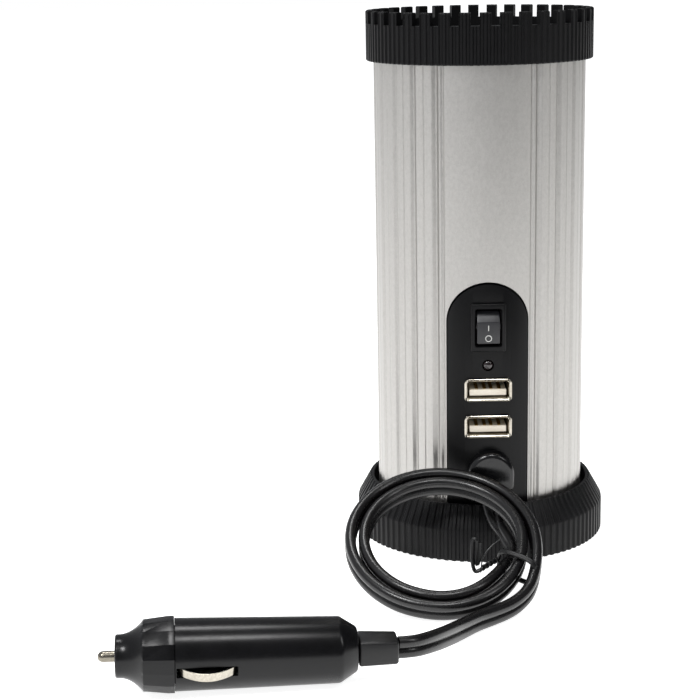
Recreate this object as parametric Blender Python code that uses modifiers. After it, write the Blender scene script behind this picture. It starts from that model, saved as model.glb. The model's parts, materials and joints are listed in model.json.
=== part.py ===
"""Can-shaped 12 V power inverter, as an assembly of separate named pieces.

The origin is the centre of the base on the floor, +Z is up, and the control panel faces
-Y. Sizes are in metres. Pieces that touch keep a gap of 0.3 mm.
"""

import math

import bmesh
import bpy
from mathutils import Matrix, Vector

MM = 0.001
GAP = 0.3 * MM

# Can
TUBE_RADIUS = 33.0 * MM
TUBE_WALL = 2.0 * MM
TUBE_TOP = 158.2 * MM
GROOVE_DEPTH = 0.8 * MM
GROOVE_HALF_ANGLE = 2.2
FIRST_GROOVE_ANGLE = 28.0
SMOOTH_BAND_ANGLE = 24.0
GROOVE_PITCHES = 9
RAIL_REACH = 2.8 * MM
RAIL_THICKNESS = 1.4 * MM

# Base ring and bottom plate
BASE_RADIUS = 39.9 * MM
BASE_WALL = 2.0 * MM
BASE_SKIRT_HEIGHT = 10.1 * MM
BASE_RIM_RADIUS = 36.0 * MM
BASE_RIM_WALL = 1.4 * MM
BASE_HEIGHT = 17.3 * MM
BASE_COLLAR_RADIUS = 33.5 * MM
BASE_COLLAR_TOP = 12.0 * MM
PLATE_TOP = 6.2 * MM
PLATE_THICKNESS = 2.5 * MM
SPIGOT_HEIGHT = 4.8 * MM
SPIGOT_WALL = 1.7 * MM
BASE_SCREWS = 3
BASE_SCREW_CIRCLE = 35.2 * MM
BASE_SCREW_RADIUS = 1.0 * MM
BASE_SCREW_HEAD_RADIUS = 2.0 * MM
BASE_SCREW_TOP = 10.8 * MM

# Cap and mains outlet
CAP_RADIUS = 35.3 * MM
CAP_BOTTOM = 151.8 * MM
CAP_TOP = 167.1 * MM
CAP_RIM_WALL = 2.1 * MM
CAP_TEETH = 36
TOOTH_GAP = 2.65 * MM
TOOTH_FLOOR = 163.2 * MM
DECK_TOP = 160.5 * MM
DECK_THICKNESS = 2.0 * MM
DECK_VENTS = 24
DECK_VENT_WIDTH = 2.2 * MM
DECK_VENT_INNER = 20.0 * MM
DECK_VENT_OUTER = 31.0 * MM
OUTLET_RADIUS = 16.7 * MM
OUTLET_RISE = 0.7 * MM
OUTLET_BOTTOM = 143.0 * MM
BLADE_SPACING = 12.7 * MM
BLADE_SLOT_WIDTH = 1.9 * MM
LINE_SLOT_LENGTH = 6.9 * MM
NEUTRAL_SLOT_LENGTH = 8.4 * MM
BLADE_Y = 3.5 * MM
GROUND_Y = -8.4 * MM
GROUND_RADIUS = 2.6 * MM

# Control panel
PANEL_RADIUS = 33.2 * MM
PANEL_WALL = 3.2 * MM
NOTCH_HALF_WIDTH = 12.55 * MM
NOTCH_TOP = 87.0 * MM
FLANGE_LAP = 1.8 * MM
FLANGE_WALL = 1.8 * MM
SWITCH_Z = 73.2 * MM
BEZEL_WIDTH = 10.6 * MM
BEZEL_HEIGHT = 14.8 * MM
BEZEL_THICKNESS = 1.1 * MM
SWITCH_BODY_WIDTH = 8.6 * MM
SWITCH_BODY_HEIGHT = 13.0 * MM
SWITCH_WELL_WIDTH = 7.5 * MM
SWITCH_WELL_HEIGHT = 11.1 * MM
SWITCH_DEPTH = 12.6 * MM
ROCKER_WIDTH = 6.9 * MM
ROCKER_PIVOT_DEPTH = 1.8 * MM
ROCKER_AXLE_RADIUS = 0.8 * MM
LED_Z = 61.2 * MM
LED_RADIUS = 1.5 * MM
USB_Z = {"upper": 53.5 * MM, "lower": 41.9 * MM}
USB_WIDTH = 12.5 * MM
USB_HEIGHT = 5.1 * MM
USB_WALL = 0.4 * MM
USB_LIP = 1.0 * MM
USB_LIP_THICKNESS = 0.5 * MM
USB_DEPTH = 14.0 * MM
GLAND_X = 0.7 * MM
GLAND_RADIUS = 7.1 * MM
GLAND_CENTRE_Z = 27.4 * MM
GLAND_BOTTOM = 22.5 * MM
GLAND_FRONT = -38.1 * MM
GLAND_STEM_RADIUS = 3.6 * MM
GLAND_STEM_BACK = -26.5 * MM

# Electronics
BOARD_Y = 4.0 * MM
BOARD_THICKNESS = 1.6 * MM
BOARD_BOTTOM = 24.0 * MM
BOARD_TOP = 136.0 * MM
BOARD_HALF_WIDTH = 30.2 * MM
FAN_SIZE = 40.0 * MM
FAN_THICKNESS = 10.0 * MM
FAN_BORE = 18.8 * MM
FAN_HUB_RADIUS = 8.5 * MM
FAN_BLADES = 7
FAN_BLADE_TIP = 18.0 * MM
TRANSISTOR_PITCH = 10.7 * MM
TRANSISTORS = 4

# Twin lead
CORD_RADIUS = 2.2 * MM
CORD_STEP = 6.0 * MM
COIL_CENTRE = Vector((-16.1, -63.4, 15.6)) * MM
COIL_TILT = 27.0
COIL_RADIUS = 25.05 * MM
COIL_HALF_RADIAL = 3.64 * MM
COIL_HALF_AXIAL = 3.5 * MM
LEAD_ROUTE = (
    (0.7, -36.0, 22.0),
    (0.7, -36.05, 21.2),
    (0.9, -38.2, 19.4),
    (1.4, -41.5, 16.9),
    (2.4, -46.5, 14.6),
    (3.8, -52.0, 12.8),
    (5.9, -59.6, 9.5),
)
TAIL_ROUTE = (
    (8.8, -79.4, 6.9),
    (6.6, -82.4, 5.2),
    (2.8, -85.9, 3.7),
    (-2.6, -90.0, 2.7),
    (-8.0, -95.0, 2.8),
    (-13.4, -102.6, 3.9),
    (-17.6, -110.2, 5.6),
    (-22.0, -117.6, 7.2),
    (-26.8, -123.7, 8.3),
    (-31.2, -124.15, 8.43),
)
TIE_ANGLE = -25.0
TIE_WIRE_RADIUS = 0.55 * MM

# Plug, measured along its axis from the rear face towards the tip
PLUG_REAR = Vector((-42.2, -125.2, 8.75)) * MM
PLUG_HEADING = 185.4
PLUG_PITCH = 1.6
PLUG_ROLL = 8.0
PLUG_REAR_RADIUS = 5.7 * MM
PLUG_CHAMFER = 4.4 * MM
PLUG_BACK_RADIUS = 8.6 * MM
PLUG_FRONT_RADIUS = 9.4 * MM
PLUG_BARREL_END = 47.0 * MM
PLUG_NECK_END = 53.0 * MM
PLUG_NECK_RADIUS = 7.5 * MM
PLUG_BORE_RADIUS = 3.6 * MM
PLUG_BORE_START = 20.0 * MM
COLLAR_RADIUS = 9.9 * MM
COLLAR_FRONT_RADIUS = 9.2 * MM
COLLAR_END = 54.9 * MM
COLLAR_SIDES = 16
NOSE_END = 62.2 * MM
NOSE_RADIUS = 5.6 * MM
NOSE_WALL = 2.0 * MM
PIN_RADIUS = 1.45 * MM
PIN_TIP = 66.7 * MM
PIN_FLANGE_RADIUS = 3.3 * MM
PIN_FLANGE_THICKNESS = 1.7 * MM
FUSE_RADIUS = 3.1 * MM
FUSE_LENGTH = 31.8 * MM
SPRING_WIRE_RADIUS = 0.35 * MM
SPRING_TURNS = 3.5
SLOT_START = 31.0 * MM
SLOT_END = 46.6 * MM
SLOT_WIDTH = 2.8 * MM
LEAF_WIDTH = 2.2 * MM
LEAF_THICKNESS = 0.5 * MM
LEAF_SEAT_RADIUS = 7.6 * MM
LEAF_CREST_RADIUS = 12.0 * MM
BOOT_LENGTH = 10.4 * MM
BOOT_WIDTH = 9.0 * MM
BOOT_HEIGHT = 7.6 * MM
BOOT_TAPER = 0.92

TUBE_INNER = TUBE_RADIUS - TUBE_WALL
TUBE_BOTTOM = PLATE_TOP + GAP
SPIGOT_RADIUS = TUBE_INNER - 1.3 * GAP
BOARD_FRONT = BOARD_Y - BOARD_THICKNESS / 2
BOARD_BACK = BOARD_Y + BOARD_THICKNESS / 2
BEZEL_FRONT = -PANEL_RADIUS - GAP - BEZEL_THICKNESS
ROCKER_PIVOT = Vector((0.0, BEZEL_FRONT + ROCKER_PIVOT_DEPTH, SWITCH_Z))
USB_FRONT = -PANEL_RADIUS - GAP - USB_LIP_THICKNESS
USB_BOARD_FRONT = USB_FRONT + USB_DEPTH + GAP
FAN_BOTTOM = PLATE_TOP + GAP
CUT_MARGIN = 1.0 * MM
FACING_FRONT = Matrix.Rotation(math.radians(90), 4, "X")

# Linear colour, roughness, metallic
FINISHES = {
    "satin_aluminium": ((0.58, 0.57, 0.54), 0.35, 1.0),
    "cap_plastic": ((0.012, 0.012, 0.013), 0.55, 0.0),
    "base_plastic": ((0.03, 0.031, 0.033), 0.6, 0.0),
    "panel_plastic": ((0.014, 0.014, 0.015), 0.45, 0.0),
    "rocker_plastic": ((0.03, 0.03, 0.032), 0.4, 0.0),
    "smoked_lens": ((0.01, 0.004, 0.004), 0.15, 0.0),
    "nickel": ((0.65, 0.62, 0.56), 0.2, 1.0),
    "cream_plastic": ((0.78, 0.74, 0.66), 0.45, 0.0),
    "green_laminate": ((0.01, 0.09, 0.04), 0.5, 0.0),
    "cord_rubber": ((0.009, 0.009, 0.01), 0.3, 0.0),
    "plug_plastic": ((0.01, 0.01, 0.011), 0.25, 0.0),
    "brass": ((0.6, 0.4, 0.12), 0.3, 1.0),
    "steel": ((0.5, 0.5, 0.5), 0.35, 1.0),
    "ferrite": ((0.03, 0.03, 0.032), 0.7, 0.0),
    "copper_enamel": ((0.45, 0.12, 0.03), 0.35, 1.0),
    "capacitor_sleeve": ((0.01, 0.02, 0.06), 0.35, 0.0),
    "film_case": ((0.6, 0.4, 0.02), 0.4, 0.0),
    "fuse_glass": ((0.7, 0.75, 0.74), 0.1, 0.0),
    "red_wire": ((0.4, 0.01, 0.01), 0.4, 0.0),
    "black_wire": ((0.01, 0.01, 0.01), 0.4, 0.0),
}


def clear_scene():
    """Remove every object, so that the script can run again in an open file."""
    for item in list(bpy.data.objects):
        bpy.data.objects.remove(item, do_unlink=True)


def make_collection(name):
    """Return a new collection linked to the scene."""
    collection = bpy.data.collections.new(name)
    bpy.context.scene.collection.children.link(collection)
    return collection


clear_scene()
PARTS = make_collection("power_inverter")
CUTTERS = make_collection("cutters")


# Shapes

def place(name, data, finish=None, location=(0, 0, 0), parent=None):
    """Add an object: a part where it has a finish, and otherwise a cutter."""
    item = bpy.data.objects.new(name, data)
    item.location = location
    item.parent = parent
    if finish is None:
        CUTTERS.objects.link(item)
        item.hide_render = True
        item.display_type = "WIRE"
        return item
    PARTS.objects.link(item)
    color, roughness, metallic = FINISHES[finish]
    material = bpy.data.materials.new(name)
    material.use_nodes = True
    shader = material.node_tree.nodes["Principled BSDF"]
    shader.inputs["Base Color"].default_value = (*color, 1.0)
    shader.inputs["Roughness"].default_value = roughness
    shader.inputs["Metallic"].default_value = metallic
    data.materials.append(material)
    return item


def to_mesh(build, name):
    """Turn a bmesh into mesh data."""
    data = bpy.data.meshes.new(name)
    build.to_mesh(data)
    build.free()
    return data


def boxes(name, items):
    """Return mesh data of separate boxes, each given as (size, matrix)."""
    build = bmesh.new()
    for size, matrix in items:
        bmesh.ops.create_cube(build, size=1.0, matrix=matrix @ Matrix.Diagonal((*size, 1.0)))
    return to_mesh(build, name)


def span_box(name, low, high):
    """Return mesh data of a box between two corners."""
    low, high = Vector(low), Vector(high)
    return boxes(name, [(high - low, Matrix.Translation((low + high) / 2))])


def cylinders(name, items, segments=32):
    """Return mesh data of separate cylinders, each given as (start, end, radius)."""
    build = bmesh.new()
    for start, end, radius in items:
        start, end = Vector(start), Vector(end)
        turn = Vector((0, 0, 1)).rotation_difference(end - start).to_matrix().to_4x4()
        matrix = Matrix.Translation((start + end) / 2) @ turn
        bmesh.ops.create_cone(build, cap_ends=True, segments=segments, radius1=radius,
                              radius2=radius, depth=(end - start).length, matrix=matrix)
    return to_mesh(build, name)


def turned(name, profile, finish=None, segments=48, closed=False, **where):
    """Add a turned shape: the profile's (radius, z) points run down its outer side."""
    data = bpy.data.meshes.new(name)
    edges = [(i, i + 1) for i in range(len(profile) - 1)]
    if closed:
        edges.append((len(profile) - 1, 0))
    data.from_pydata([(radius, 0.0, z) for radius, z in profile], edges, [])
    item = place(name, data, finish, **where)
    screw = item.modifiers.new("turn", "SCREW")
    screw.axis = "Z"
    screw.steps = segments
    screw.render_steps = segments
    screw.use_merge_vertices = True
    screw.merge_threshold = 0.01 * MM
    screw.use_smooth_shade = True
    return item


def curve_to_mesh(curve):
    """Return welded mesh data of curve data."""
    carrier = bpy.data.objects.new(curve.name, curve)
    CUTTERS.objects.link(carrier)
    graph = bpy.context.evaluated_depsgraph_get()
    data = bpy.data.meshes.new_from_object(carrier.evaluated_get(graph))
    bpy.data.objects.remove(carrier, do_unlink=True)
    build = bmesh.new()
    build.from_mesh(data)
    bmesh.ops.remove_doubles(build, verts=build.verts, dist=0.001 * MM)
    build.to_mesh(data)
    build.free()
    return data


def prism(name, outlines, low, high, matrix=None):
    """Return mesh data of flat outlines extruded from low to high along local Z."""
    curve = bpy.data.curves.new(name, "CURVE")
    curve.dimensions = "2D"
    curve.fill_mode = "BOTH"
    curve.extrude = (high - low) / 2
    for outline in outlines:
        spline = curve.splines.new("POLY")
        spline.points.add(len(outline) - 1)
        spline.use_cyclic_u = True
        for point, (x, y) in zip(spline.points, outline):
            point.co = (x, y, 0.0, 1.0)
    data = curve_to_mesh(curve)
    data.transform((matrix or Matrix()) @ Matrix.Translation((0, 0, (low + high) / 2)))
    return data


def front_prism(name, outlines, back, front):
    """Extrude (x, z) outlines along Y, from back to the smaller Y of the front."""
    return prism(name, outlines, -back, -front, FACING_FRONT)


def wire(name, points, radius, cyclic=False):
    """Return mesh data of a round wire through the points."""
    curve = bpy.data.curves.new(name, "CURVE")
    curve.dimensions = "3D"
    curve.bevel_depth = radius
    curve.bevel_resolution = 2
    curve.use_fill_caps = True
    spline = curve.splines.new("POLY")
    spline.points.add(len(points) - 1)
    spline.use_cyclic_u = cyclic
    for point, position in zip(spline.points, points):
        point.co = (*position, 1.0)
    return curve_to_mesh(curve)


def smooth_route(route, step):
    """Sample a smooth curve through the route's points, about one point a step."""
    knots = [Vector(point) * MM for point in route]
    knots = [2 * knots[0] - knots[1], *knots, 2 * knots[-1] - knots[-2]]
    samples = [knots[1]]
    for before, start, end, after in zip(knots, knots[1:], knots[2:], knots[3:]):
        count = max(1, round((end - start).length / step))
        for i in range(1, count + 1):
            t = i / count
            samples.append(0.5 * (2 * start + (end - before) * t
                                  + (2 * before - 5 * start + 4 * end - after) * t ** 2
                                  + (3 * start - before - 3 * end + after) * t ** 3))
    return samples


def boolean(item, operation, other):
    """Cut, join or intersect an item with another object."""
    modifier = item.modifiers.new(other.name, "BOOLEAN")
    modifier.operation = operation
    modifier.object = other
    modifier.solver = "EXACT"


def cut(item, *cutters):
    """Cut each of the cutters out of the item."""
    for cutter in cutters:
        boolean(item, "DIFFERENCE", cutter)


def join(item, *others):
    """Join each of the others to the item."""
    for other in others:
        boolean(item, "UNION", other)


def round_edges(item, width, segments=2, angle=40.0):
    """Round the item's sharp edges."""
    bevel = item.modifiers.new("rounded edges", "BEVEL")
    bevel.width = width
    bevel.segments = segments
    bevel.limit_method = "ANGLE"
    bevel.angle_limit = math.radians(angle)


def arc(centre, radius, start, end, count):
    """Return points along an arc, with angles in degrees."""
    angles = [math.radians(start + (end - start) * i / count) for i in range(count + 1)]
    return [(centre[0] + radius * math.cos(a), centre[1] + radius * math.sin(a)) for a in angles]


def rounded_rectangle(width, height, radius, centre=(0.0, 0.0), count=3):
    """Return the outline of a rectangle with round corners."""
    points = []
    for i, (sx, sy) in enumerate(((1, 1), (-1, 1), (-1, -1), (1, -1))):
        corner = (centre[0] + sx * (width / 2 - radius), centre[1] + sy * (height / 2 - radius))
        points += arc(corner, radius, 90 * i, 90 * i + 90, count)
    return points


def arched_outline(half_width, top, bottom, x=0.0):
    """Return the outline of a panel with a half-round top."""
    centre = (x, top - half_width)
    return arc(centre, half_width, 0, 180, 24) + [(x - half_width, bottom), (x + half_width, bottom)]


def polar(radius, angle, z=0.0):
    """Return the point at a radius and an angle in degrees, measured from +X."""
    return Vector((radius * math.cos(math.radians(angle)),
                   radius * math.sin(math.radians(angle)), z))


def around(count, radius, z, start=0.0):
    """Return one matrix for each of count places round the Z axis, +X pointing out."""
    return [Matrix.Rotation(math.radians(start + 360 * i / count), 4, "Z")
            @ Matrix.Translation((radius, 0, z)) for i in range(count)]


# Can and base

def fluted_outline():
    """Return the can's outer outline: grooves between a smooth front and a smooth back band."""
    half = [(4.0 * i, TUBE_RADIUS) for i in range(6)]
    half.append((SMOOTH_BAND_ANGLE, TUBE_RADIUS))
    pitch = (180.0 - 2 * FIRST_GROOVE_ANGLE) / GROOVE_PITCHES
    for i in range(GROOVE_PITCHES + 1):
        middle = FIRST_GROOVE_ANGLE + i * pitch
        for share, depth in ((-1, 0.0), (-0.5, 0.6), (0, 1.0), (0.5, 0.6), (1, 0.0)):
            half.append((middle + share * GROOVE_HALF_ANGLE, TUBE_RADIUS - depth * GROOVE_DEPTH))
        if i < GROOVE_PITCHES:
            half.append((middle + pitch / 2, TUBE_RADIUS))
    half += [(180.0 - angle, TUBE_RADIUS) for angle in (24.0, 20.0, 16.0, 12.0, 8.0, 4.0)]
    mirrored = [(360.0 - angle, radius) for angle, radius in reversed(half[1:])]
    ring = half + [(180.0, TUBE_RADIUS)] + mirrored
    return [tuple(polar(radius, angle - 90.0).xy) for angle, radius in ring]


def railed_outline():
    """Return the can's inner outline, with a slotted rail each side for the board."""
    slot = BOARD_THICKNESS / 2 + GAP
    reach = TUBE_INNER - RAIL_REACH
    edges = (BOARD_Y - slot - RAIL_THICKNESS, BOARD_Y - slot,
             BOARD_Y + slot, BOARD_Y + slot + RAIL_THICKNESS)
    angles = [math.degrees(math.asin(y / TUBE_INNER)) for y in edges]
    half = [tuple(polar(TUBE_INNER, a).xy) for a in range(-90, -5, 6)]
    for i in (0, 2):
        half.append(tuple(polar(TUBE_INNER, angles[i]).xy))
        half += [(reach, edges[i]), (reach, edges[i + 1])]
        half.append(tuple(polar(TUBE_INNER, angles[i + 1]).xy))
    half += [tuple(polar(TUBE_INNER, a).xy) for a in range(18, 91, 6)]
    return half + [(-x, y) for x, y in reversed(half[1:-1])]


def make_body_tube():
    """Fluted aluminium can, notched at the front for the control panel."""
    data = prism("body_tube", [fluted_outline(), railed_outline()], TUBE_BOTTOM, TUBE_TOP)
    tube = place("body_tube", data, "satin_aluminium")
    outline = arched_outline(NOTCH_HALF_WIDTH, NOTCH_TOP, 0.0)
    notch = front_prism("panel_notch", [outline], -TUBE_RADIUS / 2, -TUBE_RADIUS - CUT_MARGIN)
    cut(tube, place("panel_notch", notch))


def make_base_ring():
    """Flared base ring, whose collar grips the can and sits on the bottom plate."""
    inside = BASE_RADIUS - BASE_WALL
    rim_inside = BASE_RIM_RADIUS - BASE_RIM_WALL
    ledge = PLATE_TOP + GAP
    profile = [(BASE_RIM_RADIUS, BASE_HEIGHT), (BASE_RADIUS, BASE_SKIRT_HEIGHT),
               (BASE_RADIUS, 0.0), (inside, 0.0), (inside, ledge),
               (BASE_COLLAR_RADIUS, ledge), (BASE_COLLAR_RADIUS, BASE_COLLAR_TOP),
               (rim_inside, BASE_COLLAR_TOP), (rim_inside, BASE_HEIGHT)]
    ring = turned("base_ring", profile, "base_plastic", segments=64, closed=True)
    hole_top = BASE_SCREW_TOP + 2 * GAP
    cut(ring, place("ring_screw_holes", screw_holes("ring_screw_holes", 0.0, hole_top)))


def screw_places():
    """Return the base screws' places as vectors at z = 0."""
    return [polar(BASE_SCREW_CIRCLE, 90.0 + 360.0 * i / BASE_SCREWS) for i in range(BASE_SCREWS)]


def screw_holes(name, low, high):
    """Return cutter data for the base screws' holes between two heights."""
    radius = BASE_SCREW_RADIUS + GAP
    return cylinders(name, [(spot + Vector((0, 0, low)), spot + Vector((0, 0, high)), radius)
                            for spot in screw_places()], segments=16)


def make_bottom_plate():
    """Vented bottom plate with a spigot that centres the can."""
    outside = BASE_RADIUS - BASE_WALL - GAP
    low = PLATE_TOP - PLATE_THICKNESS
    inner = SPIGOT_RADIUS - SPIGOT_WALL
    top = PLATE_TOP + SPIGOT_HEIGHT
    profile = [(0.0, PLATE_TOP), (inner, PLATE_TOP), (inner, top), (SPIGOT_RADIUS, top),
               (SPIGOT_RADIUS, PLATE_TOP), (outside, PLATE_TOP), (outside, low), (0.0, low)]
    plate = turned("bottom_plate", profile, "base_plastic", segments=48)
    vent_pitch, vent_width, vent_reach = 5.0 * MM, 2.4 * MM, 22.0 * MM
    vents = []
    for i in range(-3, 4):
        x = i * vent_pitch
        half = math.sqrt(vent_reach ** 2 - x ** 2)
        size = (vent_width, 2 * half, PLATE_THICKNESS + 2 * CUT_MARGIN)
        vents.append((size, Matrix.Translation((x, 0, PLATE_TOP - PLATE_THICKNESS / 2))))
    rail_half = BOARD_THICKNESS / 2 + RAIL_THICKNESS + 3 * GAP
    clear_low = PLATE_TOP + GAP / 3
    keys = [
        ((-TUBE_RADIUS, BOARD_Y - rail_half, clear_low), (-26 * MM, BOARD_Y + rail_half, top * 2)),
        ((26 * MM, BOARD_Y - rail_half, clear_low), (TUBE_RADIUS, BOARD_Y + rail_half, top * 2)),
    ]
    flange_half = NOTCH_HALF_WIDTH + FLANGE_LAP + 2 * GAP
    panel_key = span_box("panel_key", (-flange_half, -TUBE_RADIUS, clear_low),
                         (flange_half, -20 * MM, top * 2))
    cut(plate, place("plate_vents", boxes("plate_vents", vents)),
        place("left_rail_key", span_box("left_rail_key", *keys[0])),
        place("right_rail_key", span_box("right_rail_key", *keys[1])),
        place("panel_key", panel_key),
        place("plate_screw_holes", screw_holes("plate_screw_holes", 0.0, top)))


def make_base_screws():
    """Screws that hold the base ring to the bottom plate."""
    head_top = PLATE_TOP - PLATE_THICKNESS - GAP
    head_low = head_top - 1.2 * MM
    profile = [(0.0, BASE_SCREW_TOP), (BASE_SCREW_RADIUS, BASE_SCREW_TOP),
               (BASE_SCREW_RADIUS, head_top), (BASE_SCREW_HEAD_RADIUS, head_top),
               (BASE_SCREW_HEAD_RADIUS, head_low), (0.0, head_low)]
    for number, spot in enumerate(screw_places(), start=1):
        turned(f"base_screw_{number}", profile, "steel", segments=16, location=spot)


# Cap and mains outlet

def make_top_cap():
    """Castellated cap with a vented deck round the mains outlet."""
    rim = CAP_RADIUS - CAP_RIM_WALL
    skirt = TUBE_RADIUS + GAP
    hole = OUTLET_RADIUS + GAP
    under = DECK_TOP - DECK_THICKNESS
    profile = [(rim, CAP_TOP), (CAP_RADIUS, CAP_TOP), (CAP_RADIUS, CAP_BOTTOM),
               (skirt, CAP_BOTTOM), (skirt, under), (hole, under), (hole, DECK_TOP),
               (rim, DECK_TOP)]
    cap = turned("top_cap", profile, "cap_plastic", segments=72, closed=True)
    gap_height = CAP_TOP - TOOTH_FLOOR + CUT_MARGIN
    gap_size = (2 * CAP_RIM_WALL + 2 * CUT_MARGIN, TOOTH_GAP, gap_height)
    gap_places = around(CAP_TEETH, CAP_RADIUS - CAP_RIM_WALL / 2, TOOTH_FLOOR + gap_height / 2,
                        start=180.0 / CAP_TEETH)
    vent_length = DECK_VENT_OUTER - DECK_VENT_INNER
    vent_size = (vent_length, DECK_VENT_WIDTH, DECK_THICKNESS + 2 * CUT_MARGIN)
    vent_places = around(DECK_VENTS, (DECK_VENT_OUTER + DECK_VENT_INNER) / 2,
                         DECK_TOP - DECK_THICKNESS / 2)
    cut(cap, place("tooth_gaps", boxes("tooth_gaps", [(gap_size, m) for m in gap_places])),
        place("deck_vents", boxes("deck_vents", [(vent_size, m) for m in vent_places])))


def make_outlet():
    """Mains outlet: an insulating insert with a contact under each of its three openings."""
    face = DECK_TOP + OUTLET_RISE
    shoulder = DECK_TOP - DECK_THICKNESS - GAP
    flange_low = shoulder - 3.0 * MM
    profile = [(0.0, face), (OUTLET_RADIUS, face), (OUTLET_RADIUS, shoulder),
               (OUTLET_RADIUS + 1.9 * MM, shoulder), (OUTLET_RADIUS + 1.9 * MM, flange_low),
               (OUTLET_RADIUS - 1.7 * MM, flange_low), (OUTLET_RADIUS - 1.7 * MM, OUTLET_BOTTOM),
               (0.0, OUTLET_BOTTOM)]
    insert = turned("outlet_insert", profile, "cap_plastic", segments=36)
    pocket_top = face - 3.5 * MM
    contact_low = OUTLET_BOTTOM + 0.5 * MM
    contact_top = pocket_top - 2 * GAP
    jaw_low = contact_low + 3.5 * MM
    blades = (("line", 1, LINE_SLOT_LENGTH), ("neutral", -1, NEUTRAL_SLOT_LENGTH))
    for label, side, length in blades:
        x = side * BLADE_SPACING / 2
        pocket = (4.2 * MM, NEUTRAL_SLOT_LENGTH + 2 * GAP)
        low = OUTLET_BOTTOM - CUT_MARGIN
        cut(insert,
            place(f"{label}_pocket", upright_box(f"{label}_pocket", x, pocket, low, pocket_top)),
            place(f"{label}_slot", upright_box(f"{label}_slot", x, (BLADE_SLOT_WIDTH, length),
                                               pocket_top - CUT_MARGIN, face + CUT_MARGIN)))
        block = (pocket[0] - 2 * GAP, pocket[1] - 2 * GAP)
        name = f"outlet_contact_{label}"
        contact = place(name, upright_box(name, x, block, contact_low, contact_top), "brass")
        jaw = (BLADE_SLOT_WIDTH, pocket[1] + 2 * CUT_MARGIN)
        cut(contact, place(f"{label}_jaw", upright_box(f"{label}_jaw", x, jaw, jaw_low,
                                                       contact_top + CUT_MARGIN)))
    ground_low = Vector((0, GROUND_Y, OUTLET_BOTTOM - CUT_MARGIN))
    ground_pocket = Vector((0, GROUND_Y, pocket_top))
    ground_face = Vector((0, GROUND_Y, face + CUT_MARGIN))
    pocket_radius = GROUND_RADIUS + 1.0 * MM
    cut(insert,
        place("ground_pocket", cylinders("ground_pocket",
                                         [(ground_low, ground_pocket, pocket_radius)])),
        place("ground_hole", cylinders("ground_hole", [(ground_low, ground_face, GROUND_RADIUS)])))
    sleeve = pocket_radius - GAP
    bore = GROUND_RADIUS - GAP
    profile = [(0.0, jaw_low), (bore, jaw_low), (bore, contact_top), (sleeve, contact_top),
               (sleeve, contact_low), (0.0, contact_low)]
    turned("outlet_contact_ground", profile, "brass", segments=24, location=(0, GROUND_Y, 0))


def upright_box(name, x, size, low, high):
    """Return box data centred at x on the blades' line, between two heights."""
    return span_box(name, (x - size[0] / 2, BLADE_Y - size[1] / 2, low),
                    (x + size[0] / 2, BLADE_Y + size[1] / 2, high))


# Control panel

def make_front_panel():
    """Curved, arched panel that fills the can's notch, with a flange behind the wall."""
    half = NOTCH_HALF_WIDTH - GAP
    top = NOTCH_TOP - GAP
    panel = curved_plate("front_panel", PANEL_RADIUS - PANEL_WALL, PANEL_RADIUS, half, top,
                         "panel_plastic")
    flange_radius = TUBE_INNER - GAP
    flange = curved_plate("panel_flange", flange_radius - FLANGE_WALL, flange_radius,
                          half + FLANGE_LAP, top + FLANGE_LAP)
    join(panel, flange)
    boss_reach = (-flange_radius + GAP, USB_BOARD_FRONT - GAP)
    bosses = [((x, boss_reach[0], z), (x, boss_reach[1], z), 1.8 * MM)
              for x in (-9.5 * MM, 9.5 * MM) for z in (37.5 * MM, 58.5 * MM)]
    join(panel, place("board_bosses", cylinders("board_bosses", bosses, segments=16)))
    back, front = -TUBE_RADIUS / 2, -PANEL_RADIUS - CUT_MARGIN
    outlines = {
        "switch_hole": rounded_rectangle(SWITCH_BODY_WIDTH + 2 * GAP, SWITCH_BODY_HEIGHT + 2 * GAP,
                                         0.5 * MM, (0.0, SWITCH_Z)),
        "led_hole": arc((0.0, LED_Z), LED_RADIUS + GAP, 0, 352.5, 23),
        "gland_hole": arc((GLAND_X, GLAND_CENTRE_Z), GLAND_STEM_RADIUS + GAP, 0, 352.5, 23),
    }
    for level, z in USB_Z.items():
        outlines[f"usb_hole_{level}"] = rounded_rectangle(
            USB_WIDTH + 2 * USB_WALL + 2 * GAP, USB_HEIGHT + 2 * USB_WALL + 2 * GAP,
            0.8 * MM, (0.0, z))
    for name, outline in outlines.items():
        cut(panel, place(name, front_prism(name, [outline], back, front)))


def curved_plate(name, inner, outer, half_width, top, finish=None):
    """Add a plate bent round the can's axis, with an arched outline."""
    high = NOTCH_TOP + 5 * MM
    profile = [(inner, high), (outer, high), (outer, TUBE_BOTTOM), (inner, TUBE_BOTTOM)]
    plate = turned(name, profile, finish, segments=96, closed=True)
    outline = arched_outline(half_width, top, 0.0)
    shape = front_prism(f"{name}_outline", [outline], -TUBE_RADIUS / 2, -TUBE_RADIUS - 3 * MM)
    boolean(plate, "INTERSECT", place(f"{name}_outline", shape))
    return plate


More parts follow.
